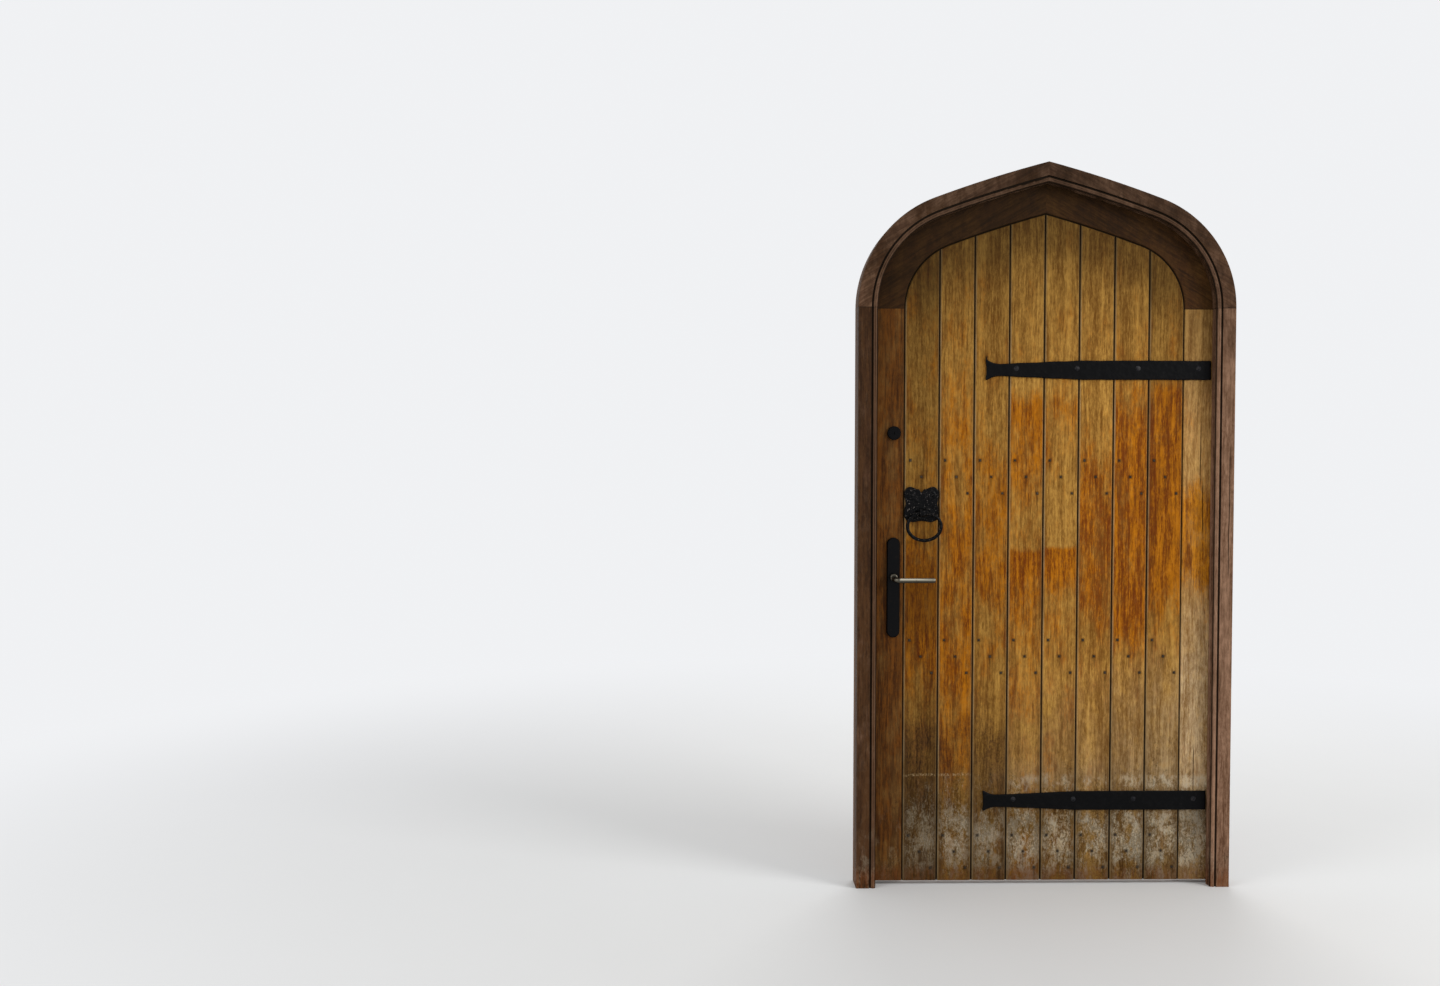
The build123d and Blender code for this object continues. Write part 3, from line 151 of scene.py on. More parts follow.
class Tree:
    """A node tree, and the one way that its nodes are made."""

    def __init__(self, nodes: bpy.types.NodeTree) -> None:
        """Keeps the tree."""
        self.nodes = nodes

    def node(
        self,
        kind: str,
        settings: Optional[Dict[str, Any]] = None,
        inputs: Optional[Dict[Union[str, int], Any]] = None,
        output: Union[str, int, None] = 0,
    ) -> Wire:
        """Makes a node.

        Args:
            kind: The node's type.
            settings: Its own settings, which are set first. "ramp" holds a colour ramp's stops.
            inputs: Values or wires by socket name or number.
            output: The socket that is wanted, or None for a node at the end of the tree.

        Returns:
            The wanted output.
        """
        made = self.nodes.nodes.new(kind)
        for key, value in (settings or {}).items():
            if key == "ramp":
                stops = made.color_ramp.elements
                while len(stops) < len(value):
                    stops.new(0.5)
                for stop, (place, shade) in zip(stops, value):
                    stop.position, stop.color = place, shade
            else:
                setattr(made, key, value)
        for key, value in (inputs or {}).items():
            if isinstance(value, Wire):
                self.nodes.links.new(value.socket, made.inputs[key])
            else:
                made.inputs[key].default_value = value
        return Wire(self, None if output is None else made.outputs[output])

    def maths(self, operation: str, first: Number, second: Number = 0.0) -> Wire:
        """Makes one Math node of this operation."""
        return self.node("ShaderNodeMath", {"operation": operation}, {0: first, 1: second})

    def vector(self, x: Number, y: Number, z: Number) -> Wire:
        """Joins three numbers into a place."""
        return self.node("ShaderNodeCombineXYZ", inputs={0: x, 1: y, 2: z})

    def looked_at(self) -> Wire:
        """Tells what looks at a surface from light that falls on it.

        Returns:
            1 where it is seen, straight or in a polished or clear surface.
        """
        rays = self.node("ShaderNodeLightPath").socket.node.outputs
        seen = Wire(self, rays["Is Camera Ray"])
        for kind in ("Glossy", "Transmission"):
            seen = seen.most(Wire(self, rays[f"Is {kind} Ray"]))
        return seen


class Bench(Tree):
    """The node tree of one material, with the layers of its colour."""

    def __init__(self, name: str, colour: Any = None) -> None:
        """Starts an empty material.

        Args:
            name: The material's name.
            colour: The lowest layer.
        """
        self.colour = colour
        self.material = bpy.data.materials.new(name)
        self.material.use_nodes = True
        self.material.node_tree.nodes.clear()
        super().__init__(self.material.node_tree)
        self.spot = self.node("ShaderNodeTexCoord", output="Object")

    def axes(self) -> Tuple[Wire, Wire, Wire]:
        """Splits the place on the piece, in metres, into its three numbers."""
        split = self.node("ShaderNodeSeparateXYZ", inputs={0: self.spot}).socket.node
        return tuple(Wire(self, split.outputs[axis]) for axis in range(3))

    def stretched(self, place: Wire, scale: Place, shift: Place = (0.0, 0.0, 0.0)) -> Wire:
        """Scales a place by a factor for each axis, then shifts it."""
        values = {0: place, 1: scale, 2: shift}
        return self.node("ShaderNodeVectorMath", {"operation": "MULTIPLY_ADD"}, values)

    def cloud(
        self, place: Wire, scale: float = 1.0, detail: float = 3.0, rough: float = 0.55
    ) -> Wire:
        """Gives soft noise from 0 to 1."""
        values = {"Vector": place, "Scale": scale, "Detail": detail, "Roughness": rough}
        return self.node("ShaderNodeTexNoise", inputs=values)

    def mix(self, mask: Number, under: Any, over: Any) -> Wire:
        """Lays one colour over another where the mask is 1."""
        values = {0: mask, 6: under, 7: over}
        return self.node("ShaderNodeMix", {"data_type": "RGBA"}, values, 2)

    def lay(self, mask: Number, over: Any) -> None:
        """Lays a colour over the layers so far where the mask is 1."""
        self.colour = self.mix(mask, self.colour, over)

    def bump(self, height: Wire, depth: float) -> Wire:
        """Turns a height from 0 to 1, this many metres deep, into a tilted surface."""
        return self.node("ShaderNodeBump", inputs={"Distance": depth, "Height": height})

    def shader(self, **sockets: Any) -> Wire:
        """Makes the main shader from values or wires, with underscores for spaces."""
        inputs = {key.replace("_", " "): value for key, value in sockets.items()}
        return self.node("ShaderNodeBsdfPrincipled", inputs=inputs)

    def closed(self, shader: Wire) -> bpy.types.Material:
        """Ends the material with what its surface shows."""
        self.node("ShaderNodeOutputMaterial", inputs={"Surface": shader}, output=None)
        return self.material

    def surface(self, **sockets: Any) -> bpy.types.Material:
        """Ends the material with the main shader, its sockets given as for shader()."""
        return self.closed(self.shader(**sockets))


class Grain(Enum):
    """The way that the grain of a timber piece runs."""

    UPRIGHT = 0.0
    LEVEL = 90.0
    RAKED_LEFT = -60.0
    RAKED_RIGHT = 60.0


@dataclass(frozen=True)
class Timber:
    """Weathered oak-brown softwood, from bare and bleached to thickly varnished.

    The graphs give a number between 0 and 1 by height; the `shade` graph is painted shade, laid in
    the same dark colour as the dirt. The weathering goes as deep as `depth` behind `front`, and the
    timber further in is plain.
    """

    name: str
    grain: Grain = Grain.UPRIGHT
    seed: float = 0.0
    bare_dark: Colour = paint(104, 66, 20)
    bare_mid: Colour = paint(128, 96, 56)
    bare_light: Colour = paint(186, 140, 66)
    varnish_dark: Colour = paint(98, 40, 0)
    varnish_light: Colour = paint(176, 106, 6)
    faded_and_highlight: Colour = paint(190, 163, 121)
    bloom: Colour = paint(190, 182, 162)
    damp: Colour = paint(74, 54, 32)
    smoked: Colour = paint(100, 66, 34)
    foot: Colour = paint(112, 58, 22)
    # Dark colour of dirt, also used for painted shade in the grooves and by height.
    dirt_and_shade: Colour = paint(20, 14, 7)
    varnish: Stops = ((0.0, 0.35), (2.1, 0.35))
    fading: Stops = ((0.0, 0.35), (0.4, 0.5), (0.75, 0.0), (2.1, 0.0))
    # Painted shade by height: darker at the foot and under the curved heads.
    shade: Stops = ((0.0, 0.3), (0.06, 0.2), (0.13, 0.0), (1.45, 0.0), (1.7, 0.2), (2.1, 0.6))
    wear: Stops = (
        (0.0, 0.5), (0.05, 0.8), (0.13, 1.0), (0.28, 0.76), (0.36, 0.42), (0.5, 0.1), (0.64, 0.0)
    )
    soot: Stops = ((0.0, 0.1), (2.1, 0.0))
    scuff: Optional[float] = None
    washing: float = 0.6
    front: float = LEAF_FACE
    depth: float = 0.0105
    inner_dark: Colour = paint(98, 58, 22)
    inner_light: Colour = paint(156, 106, 50)
    middle: Optional[float] = None
    joints: Tuple[float, ...] = ()
    cracks: Tuple[Place, ...] = ()
    stains: Tuple[float, ...] = ()

    def make(self) -> bpy.types.Material:
        """Builds the material."""
        return Woodwork(self).built()


class Woodwork(Bench):
    """The material of one timber piece: its noises, and what is laid by them."""

    def __init__(self, look: Timber) -> None:
        """Builds the noises.

        Args:
            look: How the timber is grained and weathered.
        """
        super().__init__(look.name)
        self.look = look
        self.shift = (look.seed * 3.7, look.seed * 1.3, look.seed * 7.1)
        self.x, self.y, self.z = self.axes()
        turned = self.spot
        if look.grain is not Grain.UPRIGHT:
            values = {"Vector": turned, "Angle": math.radians(look.grain.value)}
            turned = self.node("ShaderNodeVectorRotate", {"rotation_type": "Y_AXIS"}, values)
        self.drift = self.drawn(turned, 5.0, 1.6, 2.0) - 0.5
        wave = self.vector(self.drift * 0.03, self.drift * 0.02, 0.0)
        self.grain = self.node("ShaderNodeVectorMath", {"operation": "ADD"}, {0: turned, 1: wave})
        self.broad = self.drawn(self.grain, 30.0, 1.4, 3.0, 0.6)
        self.streak = self.drawn(self.grain, 150.0, 9.0, 5.0, 0.7)
        self.fibre = self.drawn(self.grain, 700.0, 40.0, 3.0, 0.7)
        self.speck = self.drawn(self.grain, 240.0, 75.0, 5.0, 0.75)
        self.checks = self.drawn(self.grain, 430.0, 11.0, 2.0).rise(0.64, 0.74)
        self.patch = self.drawn(self.spot, 19.0, 8.0, 8.0, 0.68)
        self.fleck = self.drawn(self.spot, 190.0, 120.0, 6.0, 0.8)
        self.wash = self.drawn(self.spot, 36.0, 21.0, 9.0, 0.74)
        whole = self.broad * 0.28 + self.streak * 0.3 + self.speck * 0.24 + self.fibre * 0.18
        self.figure = whole.rise(0.4, 0.6)
        self.fading, self.worn = self.z.profile(look.fading), self.z.profile(look.wear)

    def drawn(
        self, place: Wire, across: float, along: float, detail: float, rough: float = 0.55
    ) -> Wire:
        """Gives noise from 0 to 1 with so many bumps in a metre across and along the grain."""
        place = self.stretched(place, (across, across, along), self.shift)
        return self.cloud(place, 1.0, detail, rough)

    def built(self) -> bpy.types.Material:
        """Lays everything and ends the material.

        Returns:
            The finished material.
        """
        look = self.look
        cover = self._varnish()
        bloomed, pitted = self._weather()
        if look.middle is not None:
            self._edge()
        inside = self.y.rise(look.front + look.depth, look.front + look.depth + 0.002)
        self.lay(inside, self.mix(self.figure, look.inner_dark, look.inner_light))
        for height in look.joints:
            self.lay(abs(self.z - height).fall(0.0004, 0.0018) * 0.8, look.dirt_and_shade)
        relief = self.fibre * 0.2 + self.streak * 0.32 + self.fleck * 0.2
        relief = relief - self.checks * 0.3 + bloomed * 0.3 - pitted * 0.3
        for middle, low, high in look.cracks:
            split = abs(self.x - middle + self.drift * 0.012).fall(0.0004, 0.0014)
            split = split * self.z.rise(low, low + 0.03) * self.z.fall(high - 0.05, high)
            split = split * self.streak.rise(0.3, 0.45)
            self.lay(split, look.dirt_and_shade)
            relief = relief - split * 1.5
        sunk = self.y - look.front
        # Painted shade in the V grooves, together with their dirt.
        self.lay(sunk.rise(0.0012, 0.0030) * sunk.fall(0.006, 0.008) * 0.9, look.dirt_and_shade)
        # Painted highlight along the front edges of each face.
        self.lay(sunk.rise(0.00003, 0.0003) * sunk.fall(0.0006, 0.0014) * 0.3, look.bare_light)
        # Painted shade by height, patchy towards the top, in the dark dirt colour.
        uneven = (self.patch - 0.5) * 0.25 * self.z.rise(1.3, 1.9)
        self.lay((self.z.profile(look.shade) + uneven).most(0.0), look.dirt_and_shade)
        return self.surface(
            Base_Color=self.colour,
            Roughness=0.78 - cover * 0.24 + bloomed * 0.12,
            Normal=self.bump(relief, 0.001),
            Specular_IOR_Level=0.06,
        )

    def _varnish(self) -> Wire:
        """Lays the bare wood, and what is left of the varnish on it.

        Returns:
            How thick the varnish is.
        """
        look, patch = self.look, self.patch
        self.colour = self.mix(self.figure, look.bare_dark, look.bare_light)
        paled = (self.fading + (patch - 0.5) * 1.1).rise(0.05, 0.95) * self.fading.rise(0.0, 0.35)
        self.lay(paled, self.mix(self.figure, look.bare_mid, look.faded_and_highlight))
        ragged = (patch - 0.5) * 1.7 + (self.speck - 0.5) * 0.8 + (self.broad - 0.5) * 0.5
        cover = (self.z.profile(look.varnish) + ragged).rise(0.2, 0.85)
        tone = (self.figure * 0.6 + self.streak * 0.4).rise(0.2, 0.8)
        self.lay(cover, self.mix(tone, look.varnish_dark, look.varnish_light))
        place = self.stretched(self.grain, (72.0, 72.0, 7.0), self.shift[::-1])
        deep = self.cloud(place, detail=5.0, rough=0.65) * 0.6 + patch * 0.4
        self.lay(deep.rise(0.5, 0.68) * cover * 0.6, look.varnish_dark)
        self.lay(self.checks * patch.rise(0.42, 0.62) * 0.7, look.dirt_and_shade)
        self.lay(self.fleck.fall(0.3, 0.36) * 0.6, look.dirt_and_shade)
        mottle = self.drawn(self.spot, 62.0, 34.0, 5.0, 0.62)
        self.lay(mottle.fall(0.34, 0.6) * 0.34, look.bare_dark)
        self.lay(mottle.rise(0.46, 0.7) * (0.1 + paled * 0.2), look.bare_light)
        return cover

    def _weather(self) -> Tuple[Wire, Wire]:
        """Lays the damp, bleached, pitted and sooty wood towards the foot.

        Returns:
            The masks of the bloom and of the pits.
        """
        look, z, worn = self.look, self.z, self.worn
        patch, fleck, speck = self.patch, self.fleck, self.speck
        soaked = (worn * 0.6 + (patch - 0.5) * 1.2 * worn).rise(0.1, 0.95)
        soaked = soaked.most(z.fall(0.03, 0.1) * 0.55 * worn)
        self.lay(soaked * 0.62, self.mix(self.figure, look.dirt_and_shade, look.damp))
        # Rain has washed the wood below the lower strap, and in a thin band just above it.
        low = z.fall(0.19, 0.25)
        band = z.rise(0.274, 0.292) * (z + self.drift * 0.04).fall(0.312, 0.342)
        band = band * self.fading * 0.17
        washed = (self.wash + worn * 0.14 * low + band).rise(0.54, 0.7)
        washed = washed * (low + band * 8.0).least(1.0) * worn.rise(0.1, 0.6)
        self.lay(washed * look.washing, self.mix(self.figure, look.faded_and_highlight, look.bloom))
        flake = fleck * 0.42 + speck * 0.18 + self.wash * 0.4
        bloomed = (flake + worn * 0.2).rise(0.65, 0.77) * worn.rise(0.1, 0.6)
        self.lay(bloomed * 0.6, self.mix(speck.rise(0.35, 0.6), look.faded_and_highlight, look.bloom))
        pitted = (1.0 - fleck * 0.6 - patch * 0.4 + worn * 0.12).rise(0.58, 0.66)
        pitted = pitted * worn.rise(0.0, 0.3)
        self.lay(pitted * 0.5, look.dirt_and_shade)
        footed = z.fall(0.03, 0.07) * (self.wash * 0.5 + self.streak * 0.5).rise(0.4, 0.56)
        self.lay(footed * worn.rise(0.1, 0.3) * 0.62, look.foot)
        soot = z.profile(look.soot)
        sooty = (soot + (patch - 0.5) * 0.8 + (fleck - 0.5) * 0.9).rise(0.25, 0.75)
        self.lay(sooty * soot.rise(0.0, 0.3), self.mix(self.figure, look.dirt_and_shade, look.smoked))
        if look.scuff is not None:
            scuffed = abs(z - look.scuff + self.drift * 0.03).fall(0.001, 0.0055)
            self.lay(scuffed * fleck.rise(0.47, 0.58) * 0.6, look.faded_and_highlight)
        return bloomed, pitted

    def _edge(self) -> None:
        """Lays the damp edges of a board, a painted highlight on the bevels of its edges, and the
        stains round its nails.
        """
        look, patch = self.look, self.patch
        across = self.x - look.middle
        damp = abs(across).rise(0.026, 0.05) * (0.08 + self.worn * 0.5) * (0.55 + patch * 0.9)
        self.lay(damp, look.damp)
        # Painted highlight on the bevels of the board's edges, stronger on its left edge, in the
        # faded colour.
        bevel_highlight = (look.middle - self.x).rise(0.044, 0.0475).most(across.rise(0.0455, 0.048) * 0.45)
        self.lay(bevel_highlight * (patch.rise(0.3, 0.7) * 0.55 + 0.1), look.faded_and_highlight)
        pitch, fallen = NAIL_STEP
        step = (across / pitch).rounded()
        aside = abs(across - step * pitch)
        marks = None
        for row in look.stains:
            below = (row - step * fallen) - self.z
            head = aside.fall(0.003, 0.008) * abs(below).fall(0.003, 0.008)
            run = aside.fall(0.001, 0.0042) * below.rise(-0.001, 0.004) * below.fall(0.01, 0.06)
            mark = (head * 0.55).most(run * 0.45 * patch.rise(0.38, 0.6))
            marks = mark if marks is None else marks.most(mark)
        self.lay(marks, look.dirt_and_shade)


@dataclass(frozen=True)
class BlackIron:
    """Forged iron under old satin black, with dust and pale spots of painted glints."""

    name: str
    black: Colour = paint(6, 6, 7)
    dust: Colour = paint(52, 50, 50)
    rust: Colour = paint(48, 32, 24)
    glint_colour: Colour = paint(122, 114, 108)
    rough: float = 0.4
    dents: float = 0.0006
    dusty: float = 0.1
    glint_amount: float = 0.0

    def make(self) -> bpy.types.Material:
        """Builds the material.

        Returns:
            The finished material.
        """
        bench = Bench(self.name, self.black)
        place = bench.spot
        dents = bench.node("ShaderNodeTexVoronoi", inputs={"Vector": place, "Scale": 95.0})
        skin = bench.cloud(place, 60.0, 5.0, 0.6)
        grit = bench.cloud(place, 900.0, 3.0, 0.6)
        dusty = (skin * 0.6 + grit * 0.4).rise(0.5, 0.72) * self.dusty
        bench.lay(dusty, self.dust)
        bench.lay(bench.cloud(place, 33.0, 6.0, 0.7).rise(0.62, 0.75) * 0.5, self.rust)
        # Painted glints: pale spots that stand for highlights on the iron.
        bench.lay(bench.cloud(place, 210.0, 4.0, 0.7).rise(0.6, 0.68) * self.glint_amount, self.glint_colour)
        return bench.surface(
            Base_Color=bench.colour,
            Roughness=self.rough + (skin - 0.5) * 0.3 + dusty * 0.3,
            Normal=bench.bump(dents * 0.7 + grit * 0.12 + skin * 0.5, self.dents),
            Specular_IOR_Level=0.07,
        )


@dataclass(frozen=True)
class Metal:
    """Bare or lacquered metal with fine brushing, tarnish and small scratches.

    A handle is darkened below a given height, which is painted shade on its underside, and also
    left of its `neck` and towards its `end`.
    """

    name: str
    clean: Colour
    tarnish: Colour
    rough: float = 0.32
    metallic: float = 1.0
    coat: float = 0.0
    tarnished: float = 0.5
    brushed: Place = (900.0, 900.0, 60.0)
    shine: float = 0.5
    dark_below: Optional[float] = None
    neck: float = -0.4265
    end: float = -0.323
    shade_and_grime: Colour = paint(34, 28, 22)

    def make(self) -> bpy.types.Material:
        """Builds the material.

        Returns:
            The finished material.
        """
        bench = Bench(self.name, self.clean)
        place, (x, _, z) = bench.spot, bench.axes()
        blotch = bench.cloud(place, 70.0, 5.0, 0.65)
        lines = bench.cloud(bench.stretched(place, self.brushed), detail=2.0)
        low, high = 0.62 - self.tarnished * 0.3, 0.78 - self.tarnished * 0.2
        dull = (blotch + (lines - 0.5) * 0.3).rise(low, high)
        bench.lay(dull * 0.85, self.tarnish)
        if self.dark_below is not None:
            # Painted shade on the underside of the handle; it is also darkened left of its neck and
            # towards its end.
            dark = z.fall(self.dark_below - 0.003, self.dark_below + 0.003)
            dark = dark.most(x.fall(self.neck - 0.002, self.neck + 0.003))
            bench.lay(dark.most(x.rise(self.end - 0.07, self.end) * 0.6) * 0.88, self.shade_and_grime)
        return bench.surface(
            Base_Color=bench.colour,
            Roughness=self.rough + dull * 0.22 + (lines - 0.5) * 0.1,
            Metallic=self.metallic,
            Coat_Weight=self.coat,
            Coat_Roughness=0.08,
            Specular_IOR_Level=self.shine,
            Normal=bench.bump(lines * 0.5 + blotch * 0.5, 0.00008),
        )


@dataclass(frozen=True)
class Floor:
    """Plain pale floor that melts into the background far from the door."""

    name: str = "pale_floor"
    colour: Colour = (0.74, 0.74, 0.73, 1.0)
    glow: Colour = (0.97, 0.98, 1.0, 1.0)
    strength: float = 0.9

    def make(self) -> bpy.types.Material:
        """Builds the material.

        Returns:
            The finished material.
        """
        bench = Bench(self.name, self.colour)
        x, y, _ = bench.axes()
        bench.lay(bench.cloud(bench.spot, 2.0, 3.0), toned(self.colour, 1.03))
        near = bench.shader(Base_Color=bench.colour, Roughness=0.9)
        values = {"Color": self.glow, "Strength": self.strength}
        far = bench.node("ShaderNodeEmission", inputs=values)
        away = ((x * x + y * y) ** 0.5).rise(1.2, 4.5) * bench.looked_at()
        return bench.closed(bench.node("ShaderNodeMixShader", inputs={0: away, 1: near, 2: far}))


def placed(name: str, data: bpy.types.ID) -> bpy.types.Object:
    """Puts a new object in the scene.

    Args:
        name: Its name.
        data: Its mesh, lamp or camera.

    Returns:
        The object.
    """
    made = bpy.data.objects.new(name, data)
    bpy.context.scene.collection.objects.link(made)
    return made


def settled(piece: bpy.types.Object) -> None:
    """Puts what a piece's modifiers make in its mesh, and takes them off.

    Args:
        piece: The piece.
    """
    graph = bpy.context.evaluated_depsgraph_get()
    made = bpy.data.meshes.new_from_object(piece.evaluated_get(graph), depsgraph=graph)
    piece.modifiers.clear()
    piece.data = made


class Pattern(Tree):
    """A Geometry Nodes tree that makes hand-forged pieces."""

    def __init__(self, name: str, *sizes: str) -> None:
        """Starts the tree with its inputs.

        Args:
            name: The tree's name.
            *sizes: The names of the inputs that only this tree has.
        """
        super().__init__(bpy.data.node_groups.new(name, "GeometryNodeTree"))
        self.nodes.is_modifier = True
        kinds = {"Geometry": "Geometry", **dict.fromkeys(sizes, "Float")}
        kinds.update(Uneven="Float", Seed="Int", Finish="Material")
        face = self.nodes.interface
        for title, kind in kinds.items():
            face.new_socket(title, in_out="INPUT", socket_type=f"NodeSocket{kind}")
        face.new_socket("Geometry", in_out="OUTPUT", socket_type="NodeSocketGeometry")
        entry = self.node("NodeGroupInput").socket.node
        wires = [Wire(self, entry.outputs[title]) for title in kinds]
        *self.given, self.uneven, self.seed, self.finish = wires

    def moved(self, shape: Wire, **change: Any) -> Wire:
        """Applies a Translation, Rotation or Scale to a shape."""
        return self.node("GeometryNodeTransform", inputs={"Geometry": shape, **change})

    def ends(self, shape: Wire, size: float) -> None:
        """Ends the tree with real faces, uneven, smooth and in their material.

        Args:
            shape: What the tree has made.
            size: How many bumps its surface has in a metre.
        """
        place = self.node("GeometryNodeInputPosition")
        values = {"Vector": place, "W": self.seed, "Scale": size, "Detail": 2.0}
        bumps = self.node("ShaderNodeTexNoise", {"noise_dimensions": "4D"}, values, "Color")
        values = {0: bumps, 1: (0.5, 0.5, 0.5)}
        centred = self.node("ShaderNodeVectorMath", {"operation": "SUBTRACT"}, values)
        values = {0: centred, "Scale": self.uneven * 2.0}
        scaled = self.node("ShaderNodeVectorMath", {"operation": "SCALE"}, values)
        for kind, values in (
            ("SetPosition", {"Offset": scaled}),
            ("SetShadeSmooth", {}),
            ("SetMaterial", {"Material": self.finish}),
        ):
            shape = self.node(f"GeometryNode{kind}", inputs={"Geometry": shape, **values})
        self.node("NodeGroupOutput", inputs={"Geometry": shape}, output=None)

    def grown(
        self, name: str, places: Sequence[Place], values: Dict[str, Any]
    ) -> bpy.types.Object:
        """Runs the tree on loose points.

        Args:
            name: The new piece's name.
            places: The points.
            values: The inputs by name.

        Returns:
            The new piece, a plain mesh.
        """
        base = bpy.data.meshes.new(name)
        base.from_pydata(places, [], [])
        piece = placed(name, base)
        modifier = piece.modifiers.new(name, "NODES")
        modifier.node_group = self.nodes
        for item in self.nodes.interface.items_tree:
            if item.in_out == "INPUT" and item.name in values:
                modifier[item.identifier] = values[item.name]
        settled(piece)
        return piece


class ForgedHeads(Pattern):
    """Hand-forged round heads on shanks, one at each point, their axes along Y."""

    def __init__(self) -> None:
        """Builds the tree."""
        super().__init__("forged_heads", "Radius", "Rise", "Shank", "Shank Radius")
        points, radius, rise, shank, thick = self.given
        dome = self.node("GeometryNodeMeshUVSphere", inputs={"Segments": 12, "Rings": 8})
        dome = self.moved(dome, Scale=self.vector(radius, radius, rise))
        values = {"Vertices": 10, "Radius": thick, "Depth": shank}
        rod = self.node("GeometryNodeMeshCylinder", inputs=values)
        rod = self.moved(rod, Translation=self.vector(0.0, 0.0, shank * -0.5))
        joined = self.node("GeometryNodeJoinGeometry")
        for part in (rod, dome):
            self.nodes.links.new(part.socket, joined.socket.node.inputs[0])
        turn = self.vector(math.pi / 2, self._random(0.0, math.tau, self.seed), 0.0)
        grow = self._random(0.9, 1.1, self.seed + 1.0)
        wide = self.vector(grow, grow, 1.0)
        values = {"Points": points, "Instance": joined, "Rotation": turn, "Scale": wide}
        heads = self.node("GeometryNodeInstanceOnPoints", inputs=values)
        self.ends(self.node("GeometryNodeRealizeInstances", inputs={"Geometry": heads}), 330.0)

    def _random(self, low: float, high: float, seed: Wire) -> Wire:
        """Gives each head a number of its own between two others."""
        values = {2: low, 3: high, "Seed": seed}
        return self.node("FunctionNodeRandomValue", inputs=values, output=1)


class ForgedRing(Pattern):
    """A hand-forged ring that hangs in an upright plane, its centre at the origin."""

    def __init__(self) -> None:
        """Builds the tree."""
        super().__init__("forged_ring", "Width", "Height", "Bar")
        _, width, height, bar = self.given
        path, section = (
            self.node("GeometryNodeCurvePrimitiveCircle", inputs=values)
            for values in ({"Resolution": 120, "Radius": 0.5}, {"Resolution": 20, "Radius": bar})
        )
        path = self.moved(path, Scale=self.vector(width, height, 1.0))
        values = {"Curve": path, "Profile Curve": section}
        tube = self.node("GeometryNodeCurveToMesh", inputs=values)
        self.ends(self.moved(tube, Rotation=(math.pi / 2, 0.0, 0.0)), 90.0)


def seated(piece: bpy.types.Object, body: str, slot: str, *nodes: str) -> None:
    """Fastens a finished piece to its body, and hides the nodes it stands for.

    Args:
        piece: The piece.
        body: The body that it moves with.
        slot: Not used.
        *nodes: The nodes that it stands for.
    """
    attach(piece, body)
    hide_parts(*nodes)
    log.info("%s rides on %s: %d faces", piece.name, body, len(piece.data.polygons))


def hammered(
    nodes: Dict[str, bpy.types.Object],
    name: str,
    finish: bpy.types.Material,
    voxel: float,
    relief: Callable[[Vector, Vector], float],
    smoothing: int = 4,
) -> None:
    """Replaces a black iron piece of the leaf with a copy that has an uneven, hammered surface.

    Args:
        nodes: The frame's nodes by name.
        name: The piece.
        finish: Its material.
        voxel: Size of its new faces, in metres.
        relief: Gives how far a point moves out, from its place and its normal.
        smoothing: Rounds of smoothing of its edges.
    """
    sheet = bmesh.new()
    sheet.from_mesh(nodes[name].data)
    bmesh.ops.remove_doubles(sheet, verts=sheet.verts, dist=1e-6)
    mesh = bpy.data.meshes.new(f"forged_{name}")
    sheet.to_mesh(mesh)
    sheet.free()
    piece = placed(f"forged_{name}", mesh)
    remesh = piece.modifiers.new("remesh", "REMESH")
    remesh.mode, remesh.voxel_size = "VOXEL", voxel
    soften = piece.modifiers.new("soften", "SMOOTH")
    soften.factor, soften.iterations = 0.5, smoothing
    settled(piece)
    made = piece.data
    moves = [v.normal * relief(v.co, v.normal) for v in made.vertices]
    for vertex, move in zip(made.vertices, moves):
        vertex.co += move
    for polygon in made.polygons:
        polygon.use_smooth = True
    made.materials.clear()
    made.materials.append(finish)
    seated(piece, "leaf", "black_iron", name)


def dressed(nodes: Dict[str, bpy.types.Object], names: str, finish: bpy.types.Material) -> None:
    """Gives CAD pieces their material, and reports each.

    Args:
        nodes: The frame's nodes by name.
        names: The pieces that get it, with spaces between them.
        finish: The material.
    """
    for name in names.split():
        shell = nodes[name].data
        shell.materials.clear()
        shell.materials.append(finish)
        log.info("%s is dressed in %s", name, finish.name)


def dressed_all(nodes: Dict[str, bpy.types.Object], looks: Dict[Any, str]) -> None:
    """Gives CAD pieces their finishes, from the pieces' names by finish."""
    for look, names in looks.items():
        dressed(nodes, names, look.make())


